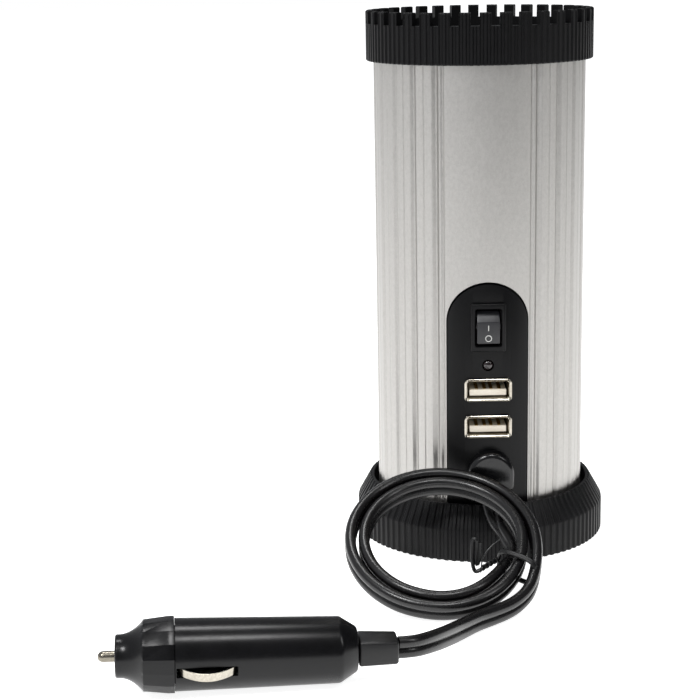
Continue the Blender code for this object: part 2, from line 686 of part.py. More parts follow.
def make_switch():
    """Rocker switch: fixed frame, rocker on its axle and two terminals."""
    centre = (0.0, SWITCH_Z)
    bezel_back = -PANEL_RADIUS - GAP
    body_back = BEZEL_FRONT + SWITCH_DEPTH
    body = rounded_rectangle(SWITCH_BODY_WIDTH, SWITCH_BODY_HEIGHT, 0.4 * MM, centre)
    bezel = rounded_rectangle(BEZEL_WIDTH, BEZEL_HEIGHT, 0.6 * MM, centre)
    well = rounded_rectangle(SWITCH_WELL_WIDTH, SWITCH_WELL_HEIGHT, 0.3 * MM, centre)
    housing = place("switch_housing", front_prism("switch_housing", [body], body_back,
                                                  bezel_back - 2 * GAP), "panel_plastic")
    join(housing, place("bezel", front_prism("bezel", [bezel], bezel_back, BEZEL_FRONT)))
    well_data = front_prism("switch_well", [well], body_back - 1.0 * MM, BEZEL_FRONT - CUT_MARGIN)
    axle_half = SWITCH_BODY_WIDTH / 2 + GAP / 3
    bore = cylinders("axle_bore", [(ROCKER_PIVOT - Vector((axle_half, 0, 0)),
                                    ROCKER_PIVOT + Vector((axle_half, 0, 0)),
                                    ROCKER_AXLE_RADIUS + GAP)], segments=24)
    cut(housing, place("switch_well", well_data), place("axle_bore", bore))
    make_rocker()
    for label, offset in (("upper", 3.0 * MM), ("lower", -3.0 * MM)):
        name = f"switch_terminal_{label}"
        low = (-2.4 * MM, body_back + GAP, SWITCH_Z + offset - 0.4 * MM)
        high = (2.4 * MM, body_back + 6.0 * MM, SWITCH_Z + offset + 0.4 * MM)
        place(name, span_box(name, low, high), "brass")


def make_rocker():
    """Rocker at rest in its off state, with its origin on the axle."""
    face = -2.1 * MM
    profile = [(face, -4.9 * MM), (face, 1.8 * MM), (0.3 * MM, 5.0 * MM), (1.6 * MM, 4.2 * MM),
               (2.6 * MM, 0.0), (1.6 * MM, -4.6 * MM)]
    side_on = Matrix(((0, 0, 1, 0), (1, 0, 0, 0), (0, 1, 0, 0), (0, 0, 0, 1)))
    data = prism("switch_rocker", [profile], -ROCKER_WIDTH / 2, ROCKER_WIDTH / 2, side_on)
    rocker = place("switch_rocker", data, "rocker_plastic", location=ROCKER_PIVOT)
    reach = Vector((SWITCH_BODY_WIDTH / 2 - 2 * GAP / 3, 0, 0))
    axle = cylinders("rocker_axle", [(-reach, reach, ROCKER_AXLE_RADIUS)], segments=24)
    join(rocker, place("rocker_axle", axle, location=ROCKER_PIVOT))


def make_power_led():
    """Round power light with a domed front and a flange behind the panel."""
    front = PANEL_RADIUS + 0.5 * MM
    flange_front = PANEL_RADIUS - PANEL_WALL - FLANGE_WALL - 2 * GAP
    flange = LED_RADIUS + 0.7 * MM
    back = flange_front - 3.0 * MM
    dome = [(LED_RADIUS * math.sin(math.radians(a)),
             front - LED_RADIUS * 0.6 * (1 - math.cos(math.radians(a)))) for a in (0, 30, 60, 90)]
    profile = dome + [(LED_RADIUS, flange_front), (flange, flange_front), (flange, back),
                      (0.0, back)]
    led = turned("power_led", profile, "smoked_lens", segments=24, location=(0, 0, LED_Z))
    led.rotation_euler = (math.radians(90), 0, 0)


def make_usb_port(level):
    """USB-A socket: a lipped metal shell and the insulating tongue inside it."""
    z = USB_Z[level]
    wide, high = USB_WIDTH + 2 * USB_WALL, USB_HEIGHT + 2 * USB_WALL
    sleeve = rounded_rectangle(wide, high, 0.6 * MM, (0.0, z))
    lip = rounded_rectangle(USB_WIDTH + 2 * USB_LIP, USB_HEIGHT + 2 * USB_LIP, 1.1 * MM, (0.0, z))
    opening = rounded_rectangle(USB_WIDTH, USB_HEIGHT, 0.4 * MM, (0.0, z))
    back = USB_FRONT + USB_DEPTH
    lip_back = USB_FRONT + USB_LIP_THICKNESS
    name = f"usb_shell_{level}"
    shell = place(name, front_prism(name, [sleeve], back, lip_back - GAP), "nickel")
    join(shell, place(f"{name}_lip", front_prism(f"{name}_lip", [lip], lip_back, USB_FRONT)))
    cut(shell, place(f"{name}_opening", front_prism(f"{name}_opening", [opening],
                                                    back + CUT_MARGIN, USB_FRONT - CUT_MARGIN)))
    name = f"usb_tongue_{level}"
    half = USB_WIDTH / 2 - GAP
    low = z - USB_HEIGHT / 2 + 0.7 * MM
    blade = span_box(name, (-half + GAP, USB_FRONT + 1.2 * MM, low),
                     (half - GAP, back - 1.5 * MM, low + 1.9 * MM))
    block = span_box(f"{name}_root", (-half, back - 2.2 * MM, z - USB_HEIGHT / 2 + GAP),
                     (half, back, z + USB_HEIGHT / 2 - GAP))
    join(place(name, blade, "cream_plastic"), place(f"{name}_root", block))


def make_usb_board():
    """Small supply board behind the USB sockets."""
    data = span_box("usb_board", (-12 * MM, USB_BOARD_FRONT, 34 * MM),
                    (12 * MM, USB_BOARD_FRONT + BOARD_THICKNESS, 62 * MM))
    place("usb_board", data, "green_laminate")


def make_cord_gland():
    """Hooded cord outlet on the panel, and the nut behind it."""
    outline = arched_outline(GLAND_RADIUS, GLAND_CENTRE_Z + GLAND_RADIUS, GLAND_BOTTOM, GLAND_X)
    hood = place("cord_gland", front_prism("cord_gland", [outline], -TUBE_INNER, GLAND_FRONT),
                 "panel_plastic")
    round_edges(hood, 1.3 * MM)
    low, high = (0, 0, 0), (0, 0, NOTCH_TOP)
    can = cylinders("gland_seat", [(low, high, PANEL_RADIUS + GAP)], segments=128)
    cut(hood, place("gland_seat", can))
    axis = [Vector((GLAND_X, y, GLAND_CENTRE_Z)) for y in (GLAND_FRONT + 2 * MM, GLAND_STEM_BACK)]
    stem = cylinders("gland_stem", [(axis[0], axis[1], GLAND_STEM_RADIUS)], segments=24)
    join(hood, place("gland_stem", stem))
    bore, outside, front = GLAND_STEM_RADIUS + GAP, 5.4 * MM, 27.9 * MM
    back = front - 1.2 * MM
    profile = [(bore, front), (outside, front), (outside, back), (bore, back)]
    nut = turned("gland_nut", profile, "panel_plastic", segments=24, closed=True,
                 location=(GLAND_X, 0, GLAND_CENTRE_Z))
    nut.rotation_euler = (math.radians(90), 0, 0)


# Electronics

def make_fan():
    """Square fan on the bottom plate: frame with a spoked hub, and a bladed rotor."""
    half = FAN_SIZE / 2
    low, high = FAN_BOTTOM, FAN_BOTTOM + FAN_THICKNESS
    floor = low + 1.5 * MM
    outline = rounded_rectangle(FAN_SIZE, FAN_SIZE, 3.0 * MM)
    bore = arc((0.0, 0.0), FAN_BORE, 0, 352.5, 47)
    frame = place("fan_frame", prism("fan_frame", [outline, bore], low, high), "panel_plastic")
    spoke_inner = FAN_HUB_RADIUS - 2.5 * MM
    spoke_size = (FAN_BORE + 0.6 * MM - spoke_inner, 2.5 * MM, floor - low - 0.2 * MM)
    spoke_middle = (FAN_BORE + 0.6 * MM + spoke_inner) / 2
    spokes = [(spoke_size, m) for m in around(4, spoke_middle, (low + floor) / 2, start=20.0)]
    post_top = high - 3.5 * MM
    hub = turned("fan_hub", [(0.0, post_top), (1.5 * MM, post_top), (1.5 * MM, floor),
                             (FAN_HUB_RADIUS - GAP, floor), (FAN_HUB_RADIUS - GAP, low),
                             (0.0, low)], segments=24)
    join(frame, hub, place("fan_spokes", boxes("fan_spokes", spokes)))
    rotor_low, rotor_top = floor + GAP, high - 0.7 * MM
    well = 1.5 * MM + GAP
    rotor = turned("fan_rotor", [(0.0, rotor_top), (FAN_HUB_RADIUS, rotor_top),
                                 (FAN_HUB_RADIUS, rotor_low), (well, rotor_low),
                                 (well, post_top + GAP), (0.0, post_top + GAP)],
                   "panel_plastic", segments=32)
    blade_root = FAN_HUB_RADIUS - 0.6 * MM
    blade_size = (FAN_BLADE_TIP - blade_root, 1.0 * MM, 5.0 * MM)
    pitch = Matrix.Rotation(math.radians(50), 4, "X")
    blades = [(blade_size, m @ pitch) for m in around(FAN_BLADES, (FAN_BLADE_TIP + blade_root) / 2,
                                                      (rotor_low + rotor_top) / 2)]
    join(rotor, place("fan_blades", boxes("fan_blades", blades)))


def make_main_board():
    """Main board, held by its edges in the can's rails."""
    data = span_box("main_board", (-BOARD_HALF_WIDTH, BOARD_FRONT, BOARD_BOTTOM),
                    (BOARD_HALF_WIDTH, BOARD_BACK, BOARD_TOP))
    place("main_board", data, "green_laminate")


def make_transformer():
    """Step-up transformer on the back of the board: core and winding."""
    z = 108.0 * MM
    half_y = 11.0 * MM
    y = BOARD_BACK + GAP + half_y
    leg, window, yoke = 5.5 * MM, 6.0 * MM, 9.0 * MM
    core = span_box("transformer_core", (-16 * MM, y - 6 * MM, z - 13 * MM),
                    (16 * MM, y + 6 * MM, z + 13 * MM))
    core = place("transformer_core", core, "ferrite")
    for side in (-1, 1):
        near, far = side * leg, side * (leg + window)
        name = "core_window_right" if side > 0 else "core_window_left"
        cut(core, place(name, span_box(name, (min(near, far), y - half_y, z - yoke),
                                       (max(near, far), y + half_y, z + yoke))))
    reach = leg + window - GAP
    outer = [(-reach, -half_y), (reach, -half_y), (reach, half_y), (-reach, half_y)]
    tight = 6.0 * MM + GAP
    inner = [(-leg - GAP, -tight), (leg + GAP, -tight), (leg + GAP, tight), (-leg - GAP, tight)]
    data = prism("transformer_winding", [outer, inner], z - yoke + GAP, z + yoke - GAP,
                 Matrix.Translation((0, y, 0)))
    place("transformer_winding", data, "copper_enamel")


def make_capacitors():
    """Capacitors that stand out from the front of the board."""
    seat = BOARD_FRONT - GAP
    cans = {"bus_capacitor": (6.0, 108.0, 8.0, 22.0), "input_capacitor_1": (-12.0, 78.0, 5.0, 16.0),
            "input_capacitor_2": (-12.0, 91.0, 5.0, 16.0)}
    for name, (x, z, radius, length) in cans.items():
        start = Vector((x * MM, seat, z * MM))
        end = start - Vector((0, length * MM, 0))
        place(name, cylinders(name, [(start, end, radius * MM)]), "capacitor_sleeve")
    data = span_box("film_capacitor", (10.5 * MM, seat - 6 * MM, 73 * MM),
                    (23.5 * MM, seat, 84 * MM))
    place("film_capacitor", data, "film_case")


def make_choke():
    """Ring-shaped output choke on the front of the board."""
    major, minor = 8.5 * MM, 3.6 * MM
    outline = arc((major, 0.0), minor, 180, -144, 9)
    choke = turned("choke_coil", outline, "copper_enamel", segments=24, closed=True,
                   location=(0, BOARD_FRONT - GAP - minor, 50 * MM))
    choke.rotation_euler = (math.radians(90), 0, 0)


def make_heat_sink():
    """Finned bar behind the transistors, on two pairs of legs."""
    front, back, fin_end = BOARD_BACK + 10.9 * MM, BOARD_BACK + 13.9 * MM, BOARD_BACK + 19.2 * MM
    low, high = 34 * MM, 66 * MM
    outline = [(-21 * MM, back), (-21 * MM, front), (21 * MM, front), (21 * MM, back)]
    fin_pitch, fin_half, fins = 4.0 * MM, 0.6 * MM, 4
    for i in range(fins, -fins - 1, -1):
        x = i * fin_pitch
        outline += [(x + fin_half, back), (x + fin_half, fin_end), (x - fin_half, fin_end),
                    (x - fin_half, back)]
    bar = place("heat_sink_bar", prism("heat_sink_bar", [outline], low, high), "satin_aluminium")
    size = (4 * MM, front - BOARD_BACK - GAP + 1 * MM, 2.4 * MM)
    y = BOARD_BACK + GAP + size[1] / 2
    legs = [(size, Matrix.Translation((x * MM, y, z * MM))) for x in (-15, 15) for z in (36, 64)]
    join(bar, place("bar_legs", boxes("bar_legs", legs)))


def make_transistors():
    """Row of switching transistors between the board and the heat sink."""
    seat = BOARD_BACK + GAP
    tab_back = BOARD_BACK + 10.9 * MM - GAP
    for i in range(TRANSISTORS):
        x = (i - (TRANSISTORS - 1) / 2) * TRANSISTOR_PITCH
        name = f"power_transistor_{i + 1}"
        body = place(name, span_box(name, (x - 5 * MM, tab_back - 4.4 * MM, 42 * MM),
                                    (x + 5 * MM, tab_back - 0.4 * MM, 51 * MM)), "panel_plastic")
        tab = span_box(f"{name}_tab", (x - 4.8 * MM, tab_back - 1.3 * MM, 42.6 * MM),
                       (x + 4.8 * MM, tab_back, 57.5 * MM))
        legs = [((0.9 * MM, 6.5 * MM, 0.9 * MM),
                 Matrix.Translation((x + step * 2.54 * MM, seat + 3.25 * MM, 44 * MM)))
                for step in (-1, 0, 1)]
        join(body, place(f"{name}_tab", tab), place(f"{name}_legs", boxes(f"{name}_legs", legs)))


def make_leads():
    """Insulated leads inside the can: two from the cord outlet, two to the mains outlet."""
    seat = BOARD_FRONT - GAP
    for side, label, finish in ((-1, "positive", "red_wire"), (1, "negative", "black_wire")):
        name = f"input_wire_{label}"
        x = GLAND_X / MM
        route = [(x + side * 1.6, GLAND_STEM_BACK / MM + 0.3, 27.4),
                 (x + side * 2.4, -20.0, 26.6), (side * 6.0, -8.0, 27.6),
                 (side * 8.0, -1.5, 29.6), (side * 8.0, seat / MM, 30.0)]
        place(name, wire(name, smooth_route(route, 3.0 * MM), 1.1 * MM), finish)
    for side, label, finish in ((1, "line", "black_wire"), (-1, "neutral", "red_wire")):
        name = f"output_wire_{label}"
        x = side * BLADE_SPACING / 2 / MM
        route = [(side * 14.0, seat / MM, 126.0), (side * 14.0, -0.5, 127.0),
                 (side * 12.5, -3.0, 133.0), (x + side * 2.0, 0.5, 139.0),
                 (x, BLADE_Y / MM, 142.0), (x, BLADE_Y / MM, 143.2)]
        place(name, wire(name, smooth_route(route, 3.0 * MM), 0.9 * MM), finish)


# Twin lead and plug

def superellipse(half_wide, half_high, count):
    """Return a rounded-square outline, clockwise from its outermost point."""
    points = []
    for i in range(count):
        angle = -2 * math.pi * i / count
        c, s = math.cos(angle), math.sin(angle)
        points.append((math.copysign(abs(c) ** 0.6, c) * half_wide,
                       math.copysign(abs(s) ** 0.6, s) * half_high))
    return points


def make_coil_frame():
    """Return the empty at the coil's centre, its Z along the coil's axis."""
    frame = bpy.data.objects.new("coil_frame", None)
    PARTS.objects.link(frame)
    frame.location = COIL_CENTRE
    frame.rotation_euler = (math.radians(COIL_TILT), 0, 0)
    return frame


def make_cord():
    """Twin lead: outlet to coil, the coil as one ring, and coil to plug; with its tie."""
    lead = wire("cord_lead", smooth_route(LEAD_ROUTE, CORD_STEP / 2), CORD_RADIUS)
    place("cord_lead", lead, "cord_rubber")
    place("cord_tail", wire("cord_tail", smooth_route(TAIL_ROUTE, CORD_STEP), CORD_RADIUS),
          "cord_rubber")
    frame = make_coil_frame()
    section = [(COIL_RADIUS + x, z)
               for x, z in superellipse(COIL_HALF_RADIAL, COIL_HALF_AXIAL, 12)]
    turned("cord_coil", section, "cord_rubber", segments=44, closed=True, parent=frame)
    make_tie(frame)


def make_tie(frame):
    """Wire tie bent round the coil, with one twisted tail."""
    turn = Matrix.Rotation(math.radians(TIE_ANGLE), 4, "Z")
    grow = GAP + TIE_WIRE_RADIUS
    loop = [turn @ Vector((COIL_RADIUS + x, 0, z))
            for x, z in superellipse(COIL_HALF_RADIAL + grow, COIL_HALF_AXIAL + grow, 20)]
    tie = place("cord_tie", wire("cord_tie", loop, TIE_WIRE_RADIUS, cyclic=True), "cord_rubber",
                parent=frame)
    inner = COIL_RADIUS - COIL_HALF_RADIAL - grow
    route = [turn @ Vector(point) for point in (
        (inner, 0.4 * MM, 0.5 * MM), (inner - 3 * MM, -2 * MM, 0.2 * MM),
        (inner - 6 * MM, -5 * MM, 0.8 * MM), (inner - 8 * MM, -6.5 * MM, 4.5 * MM))]
    tail = wire("tie_tail", route, 1.4 * TIE_WIRE_RADIUS)
    join(tie, place("tie_tail", tail, parent=frame))


def make_plug_frame():
    """Return the empty at the plug's rear face: Z to the tip, X to the front contact."""
    heading, pitch = math.radians(PLUG_HEADING), math.radians(PLUG_PITCH)
    along = Vector((math.cos(heading) * math.cos(pitch), math.sin(heading) * math.cos(pitch),
                    math.sin(pitch)))
    side = Vector((0, 0, 1)).cross(along).normalized()
    up = along.cross(side)
    basis = Matrix((side, up, along)).transposed()
    roll = Matrix.Rotation(math.radians(-PLUG_ROLL), 3, "Z")
    frame = bpy.data.objects.new("plug_frame", None)
    PARTS.objects.link(frame)
    frame.location = PLUG_REAR
    frame.rotation_euler = (basis @ roll).to_euler()
    return frame


def make_plug_body(frame):
    """Plug barrel: bored for the fuse and slotted on both sides for the contacts."""
    profile = [(0.0, PLUG_BORE_START), (PLUG_BORE_RADIUS, PLUG_BORE_START),
               (PLUG_BORE_RADIUS, PLUG_NECK_END), (PLUG_NECK_RADIUS, PLUG_NECK_END),
               (PLUG_NECK_RADIUS, PLUG_BARREL_END), (PLUG_FRONT_RADIUS, PLUG_BARREL_END),
               (PLUG_BACK_RADIUS, PLUG_CHAMFER), (PLUG_REAR_RADIUS, 0.0), (0.0, 0.0)]
    body = turned("plug_body", profile, "plug_plastic", parent=frame)
    reach = PLUG_FRONT_RADIUS + 3 * MM
    data = span_box("contact_slots", (-reach, -SLOT_WIDTH / 2, SLOT_START),
                    (reach, SLOT_WIDTH / 2, SLOT_END))
    cut(body, place("contact_slots", data, parent=frame))


def make_plug_nose(frame):
    """Screw-on nose: faceted collar, flared front and a stepped bore for pin and fuse."""
    flare = [(NOSE_RADIUS, NOSE_END)]
    flare += [(NOSE_RADIUS + (COLLAR_FRONT_RADIUS - NOSE_RADIUS) * t ** 2,
               NOSE_END - 0.9 * MM - (NOSE_END - 0.9 * MM - COLLAR_END) * t)
              for t in (0.0, 0.25, 0.5, 0.75, 1.0)]
    round_low = COLLAR_END - 3 * MM
    nose = turned("plug_nose", [(0.0, NOSE_END), *flare, (COLLAR_FRONT_RADIUS, round_low),
                                (0.0, round_low)], "plug_plastic", segments=32, parent=frame)
    low = PLUG_BARREL_END + GAP
    collar = turned("collar", [(0.0, COLLAR_END), (COLLAR_FRONT_RADIUS, COLLAR_END),
                               (COLLAR_RADIUS, low + 1.5 * MM), (COLLAR_RADIUS, low), (0.0, low)],
                    segments=COLLAR_SIDES, parent=frame)
    shelf = PLUG_NECK_END + GAP
    wall = NOSE_END - NOSE_WALL
    over = NOSE_END + CUT_MARGIN
    chamber = PLUG_BORE_RADIUS + GAP
    bore = turned("nose_bore", [(0.0, over), (PIN_RADIUS + GAP, over), (PIN_RADIUS + GAP, wall),
                                (chamber, wall), (chamber, shelf),
                                (PLUG_NECK_RADIUS + GAP, shelf),
                                (PLUG_NECK_RADIUS + GAP, low - CUT_MARGIN),
                                (0.0, low - CUT_MARGIN)], segments=32, parent=frame)
    join(nose, collar)
    cut(nose, bore)


def make_plug_core(frame):
    """Centre pin, fuse and spring, in line along the plug's bore."""
    flange_top = NOSE_END - NOSE_WALL - GAP
    flange_low = flange_top - PIN_FLANGE_THICKNESS
    tip = [(PIN_RADIUS * math.sin(math.radians(a)),
            PIN_TIP - PIN_RADIUS * (1 - math.cos(math.radians(a)))) for a in range(0, 91, 18)]
    turned("plug_pin", tip + [(PIN_RADIUS, flange_top), (PIN_FLANGE_RADIUS, flange_top),
                              (PIN_FLANGE_RADIUS, flange_low), (0.0, flange_low)],
           "nickel", segments=24, parent=frame)
    fuse_top = flange_low - GAP
    fuse_low = fuse_top - FUSE_LENGTH
    glass, cap = FUSE_RADIUS - 0.3 * MM, 6.0 * MM
    turned("plug_fuse", [(0.0, fuse_top), (FUSE_RADIUS, fuse_top), (FUSE_RADIUS, fuse_top - cap),
                         (glass, fuse_top - cap), (glass, fuse_low + cap),
                         (FUSE_RADIUS, fuse_low + cap), (FUSE_RADIUS, fuse_low), (0.0, fuse_low)],
           "fuse_glass", segments=24, parent=frame)
    low = PLUG_BORE_START + GAP + SPRING_WIRE_RADIUS
    high = fuse_low - GAP - SPRING_WIRE_RADIUS
    radius = PLUG_BORE_RADIUS - 2 * GAP - SPRING_WIRE_RADIUS
    per_turn = 9
    count = round(SPRING_TURNS * per_turn)
    points = [polar(radius, 360 * i / per_turn, low + (high - low) * i / count)
              for i in range(count + 1)]
    place("plug_fuse_spring", wire("plug_fuse_spring", points, SPRING_WIRE_RADIUS), "steel",
          parent=frame)


def make_plug_contacts(frame):
    """Bowed side contacts, one in each slot of the barrel."""
    start, end = SLOT_START + GAP, SLOT_END - GAP
    rise = LEAF_CREST_RADIUS - LEAF_THICKNESS / 2 - LEAF_SEAT_RADIUS
    shares = [i / 12 for i in range(13)]
    bow = [(LEAF_SEAT_RADIUS + rise * math.sin(math.pi * t) ** 0.8, start + (end - start) * t)
           for t in shares]
    outline = [(x - LEAF_THICKNESS / 2, z) for x, z in bow]
    outline += [(x + LEAF_THICKNESS / 2, z) for x, z in reversed(bow)]
    for side, label in ((1, "front"), (-1, "rear")):
        name = f"plug_contact_{label}"
        data = prism(name, [outline], -LEAF_WIDTH / 2, LEAF_WIDTH / 2, FACING_FRONT)
        leaf = place(name, data, "nickel", parent=frame)
        leaf.rotation_euler = (0, 0, 0 if side > 0 else math.pi)


def make_plug_boot(frame):
    """Flat strain relief behind the plug, a little smaller towards the cord."""
    data = span_box("plug_boot", (-BOOT_WIDTH / 2, -BOOT_HEIGHT / 2, -GAP - BOOT_LENGTH),
                    (BOOT_WIDTH / 2, BOOT_HEIGHT / 2, -GAP))
    for vertex in data.vertices:
        if vertex.co.z < -BOOT_LENGTH / 2:
            vertex.co.x *= BOOT_TAPER
            vertex.co.y *= BOOT_TAPER
    boot = place("plug_boot", data, "plug_plastic", parent=frame)
    boot.rotation_euler = (0, 0, math.radians(PLUG_ROLL))
    round_edges(boot, 0.9 * MM)


def make_plug():
    """12 V plug, lying on the floor on its collar and its back edge."""
    frame = make_plug_frame()
    make_plug_body(frame)
    make_plug_nose(frame)
    make_plug_core(frame)
    make_plug_contacts(frame)
    make_plug_boot(frame)


def main():
    """Build the whole inverter."""
    make_body_tube()
    make_base_ring()
    make_bottom_plate()
    make_base_screws()
    make_top_cap()
    make_outlet()
    make_front_panel()
    make_switch()
    make_power_led()
    for level in USB_Z:
        make_usb_port(level)
    make_usb_board()
    make_cord_gland()
    make_fan()
    make_main_board()
    make_transformer()
    make_capacitors()
    make_choke()
    make_heat_sink()
    make_transistors()
    make_leads()
    make_cord()
    make_plug()


main()
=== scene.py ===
"""Looks of a can-shaped 12 V power inverter: detailed pieces and finishes round its CAD frame.

The can stands on the floor with its axis along +Z, and its control panel faces -Y. Sizes in
the classes are in millimetres, and meshes are in metres.
"""

import json
import logging
import math
from contextlib import contextmanager
from dataclasses import dataclass
from enum import Enum
from typing import Callable, Iterator, Sequence

import bpy
import numpy as np
from mathutils import Matrix, Vector


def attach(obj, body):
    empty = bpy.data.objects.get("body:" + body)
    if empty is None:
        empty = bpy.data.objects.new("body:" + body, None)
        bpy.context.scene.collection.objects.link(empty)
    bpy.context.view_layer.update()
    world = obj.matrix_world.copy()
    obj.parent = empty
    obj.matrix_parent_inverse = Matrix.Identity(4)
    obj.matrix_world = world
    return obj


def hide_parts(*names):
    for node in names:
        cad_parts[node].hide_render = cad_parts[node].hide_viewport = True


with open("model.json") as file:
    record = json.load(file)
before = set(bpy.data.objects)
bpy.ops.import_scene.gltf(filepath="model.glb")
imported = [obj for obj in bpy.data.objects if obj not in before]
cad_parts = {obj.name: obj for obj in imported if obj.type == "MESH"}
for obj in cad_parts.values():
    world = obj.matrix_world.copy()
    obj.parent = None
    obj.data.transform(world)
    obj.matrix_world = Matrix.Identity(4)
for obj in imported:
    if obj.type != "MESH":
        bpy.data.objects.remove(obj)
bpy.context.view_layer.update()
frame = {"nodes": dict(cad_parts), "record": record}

MM = 0.001
WELD = 0.002 * MM
FRONTWARD = Matrix.Rotation(math.radians(90), 4, "X")
LOG = logging.getLogger("inverter")

Point = Sequence[float]
Outline = list[tuple[float, float]]


class Body(Enum):
    """The moving bodies of the inverter."""

    CASE = "inverter"
    ROCKER = "rocker"
    PIN = "centre_pin"
    LEAF_FRONT = "contact_front"
    LEAF_REAR = "contact_rear"


# Finishes

def linear(code: str) -> tuple[float, float, float, float]:
    """Turn an sRGB hex colour to linear.

    Args:
        code: Six hex digits.

    Returns:
        Linear red, green, blue and an alpha of 1.
    """
    parts = [int(code[i:i + 2], 16) / 255 for i in (0, 2, 4)]
    return (*[p / 12.92 if p <= 0.04045 else ((p + 0.055) / 1.055) ** 2.4 for p in parts], 1.0)


def node(tree: bpy.types.NodeTree, kind: str, values: dict | None = None,
         links: dict | None = None) -> bpy.types.Node:
    """Add a node with its settings and links.

    Args:
        tree: The node tree.
        kind: The node's type after "ShaderNode".
        values: Settings and socket values by name, or by socket number.
        links: Output sockets by the input's name or number.

    Returns:
        The new node.
    """
    item = tree.nodes.new(f"ShaderNode{kind}")
    for key, value in (values or {}).items():
        if isinstance(key, str) and hasattr(item, key):
            setattr(item, key, value)
        else:
            item.inputs[key].default_value = value
    for key, socket in (links or {}).items():
        tree.links.new(socket, item.inputs[key])
    return item


def new_material(name: str) -> tuple[bpy.types.Material, bpy.types.NodeTree]:
    """Return a material with an empty node tree and that tree."""
    material = bpy.data.materials.new(name)
    material.use_nodes = True
    material.node_tree.nodes.clear()
    return material, material.node_tree


@dataclass(frozen=True)
class Surface:
    """A moulded, plated or extruded finish: two close tones, a fine grain and a gloss.

    grain is the width of the grain and patch that of the slow changes of tone. stretch draws
    the grain out along Z, as extrusion and brushing do.
    """

    name: str
    light: str
    dark: str
    roughness: float
    grain: float
    depth: float
    metallic: float = 0.0
    specular: float = 0.5
    coat: float = 0.0
    patch: float = 9.0
    stretch: float = 1.0
    uneven: float = 0.06

    def build(self) -> bpy.types.Material:
        """Return the finish as a material."""
        material, tree = new_material(self.name)
        place = node(tree, "TexCoord").outputs["Object"]
        drawn = node(tree, "Mapping", {"Scale": (1.0, 1.0, 1.0 / self.stretch)},
                     {"Vector": place}).outputs[0]
        grain = node(tree, "TexNoise", {"Scale": 1 / (self.grain * MM), "Detail": 3.0,
                                        "Roughness": 0.55}, {"Vector": drawn}).outputs[0]
        patch = node(tree, "TexNoise", {"Scale": 1 / (self.patch * MM), "Detail": 2.0},
                     {"Vector": drawn}).outputs[0]
        blend = node(tree, "Math", {"operation": "MULTIPLY_ADD", 1: 0.5},
                     {0: grain, 2: node(tree, "Math", {"operation": "MULTIPLY", 1: 0.5},
                                        {0: patch}).outputs[0]}).outputs[0]
        tone = node(tree, "MapRange", {1: 0.35, 2: 0.65}, {0: blend}).outputs[0]
        colour = node(tree, "Mix", {"data_type": "RGBA", 6: linear(self.dark),
                                    7: linear(self.light)}, {0: tone}).outputs[2]
        gloss = node(tree, "MapRange", {1: 0.3, 2: 0.7, 3: self.roughness - self.uneven,
                                        4: self.roughness + self.uneven}, {0: blend}).outputs[0]
        bump = node(tree, "Bump", {"Strength": 0.6, "Distance": self.depth * MM},
                    {"Height": grain}).outputs[0]
        shader = node(tree, "BsdfPrincipled",
                      {"Metallic": self.metallic, "Specular IOR Level": self.specular,
                       "Coat Weight": self.coat, "Coat Roughness": 0.12},
                      {"Base Color": colour, "Roughness": gloss, "Normal": bump})
        node(tree, "OutputMaterial", None, {"Surface": shader.outputs[0]})
        return material


@dataclass(frozen=True)
class CircuitBoard:
    """Glass-fibre board: green solder mask over copper tracks, with tinned pads."""

    name: str = "solder-masked glass-fibre board"
    mask: str = "1F5A3A"
    track: str = "2E7A4C"
    pad: str = "C9C4B0"

    def build(self) -> bpy.types.Material:
        """Return the finish as a material."""
        material, tree = new_material(self.name)
        place = node(tree, "TexCoord").outputs["Object"]
        tracks = node(tree, "TexBrick", {"Scale": 180.0, "Mortar Size": 0.012,
                                         "Color1": linear(self.mask),
                                         "Color2": linear(self.track),
                                         "Mortar": linear("174A30")}, {"Vector": place})
        dots = node(tree, "TexVoronoi", {"Scale": 260.0, "Randomness": 0.35},
                    {"Vector": place}).outputs["Distance"]
        on_pad = node(tree, "Math", {"operation": "LESS_THAN", 1: 0.17}, {0: dots}).outputs[0]
        colour = node(tree, "Mix", {"data_type": "RGBA", 7: linear(self.pad)},
                      {0: on_pad, 6: tracks.outputs[0]}).outputs[2]
        bump = node(tree, "Bump", {"Strength": 0.4, "Distance": 0.05 * MM},
                    {"Height": tracks.outputs["Fac"]}).outputs[0]
        shader = node(tree, "BsdfPrincipled", {"Roughness": 0.35},
                      {"Base Color": colour, "Metallic": on_pad, "Normal": bump})
        node(tree, "OutputMaterial", None, {"Surface": shader.outputs[0]})
        return material


@dataclass(frozen=True)
class Winding:
    """Enamelled copper wire, wound close: glossy bands one wire apart."""

    name: str = "enamelled copper wire"
    light: str = "C9763A"
    dark: str = "5E2A12"
    wire: float = 0.8

    def build(self) -> bpy.types.Material:
        """Return the finish as a material."""
        material, tree = new_material(self.name)
        place = node(tree, "TexCoord").outputs["Object"]
        waves = node(tree, "TexWave", {"bands_direction": "Z", "Distortion": 0.6,
                                       "Scale": 0.314 / (self.wire * MM)},
                     {"Vector": place}).outputs["Fac"]
        colour = node(tree, "Mix", {"data_type": "RGBA", 6: linear(self.dark),
                                    7: linear(self.light)}, {0: waves}).outputs[2]
        bump = node(tree, "Bump", {"Strength": 0.9, "Distance": 0.3 * MM},
                    {"Height": waves}).outputs[0]
        shader = node(tree, "BsdfPrincipled", {"Metallic": 0.8, "Roughness": 0.28},
                      {"Base Color": colour, "Normal": bump})
        node(tree, "OutputMaterial", None, {"Surface": shader.outputs[0]})
        return material


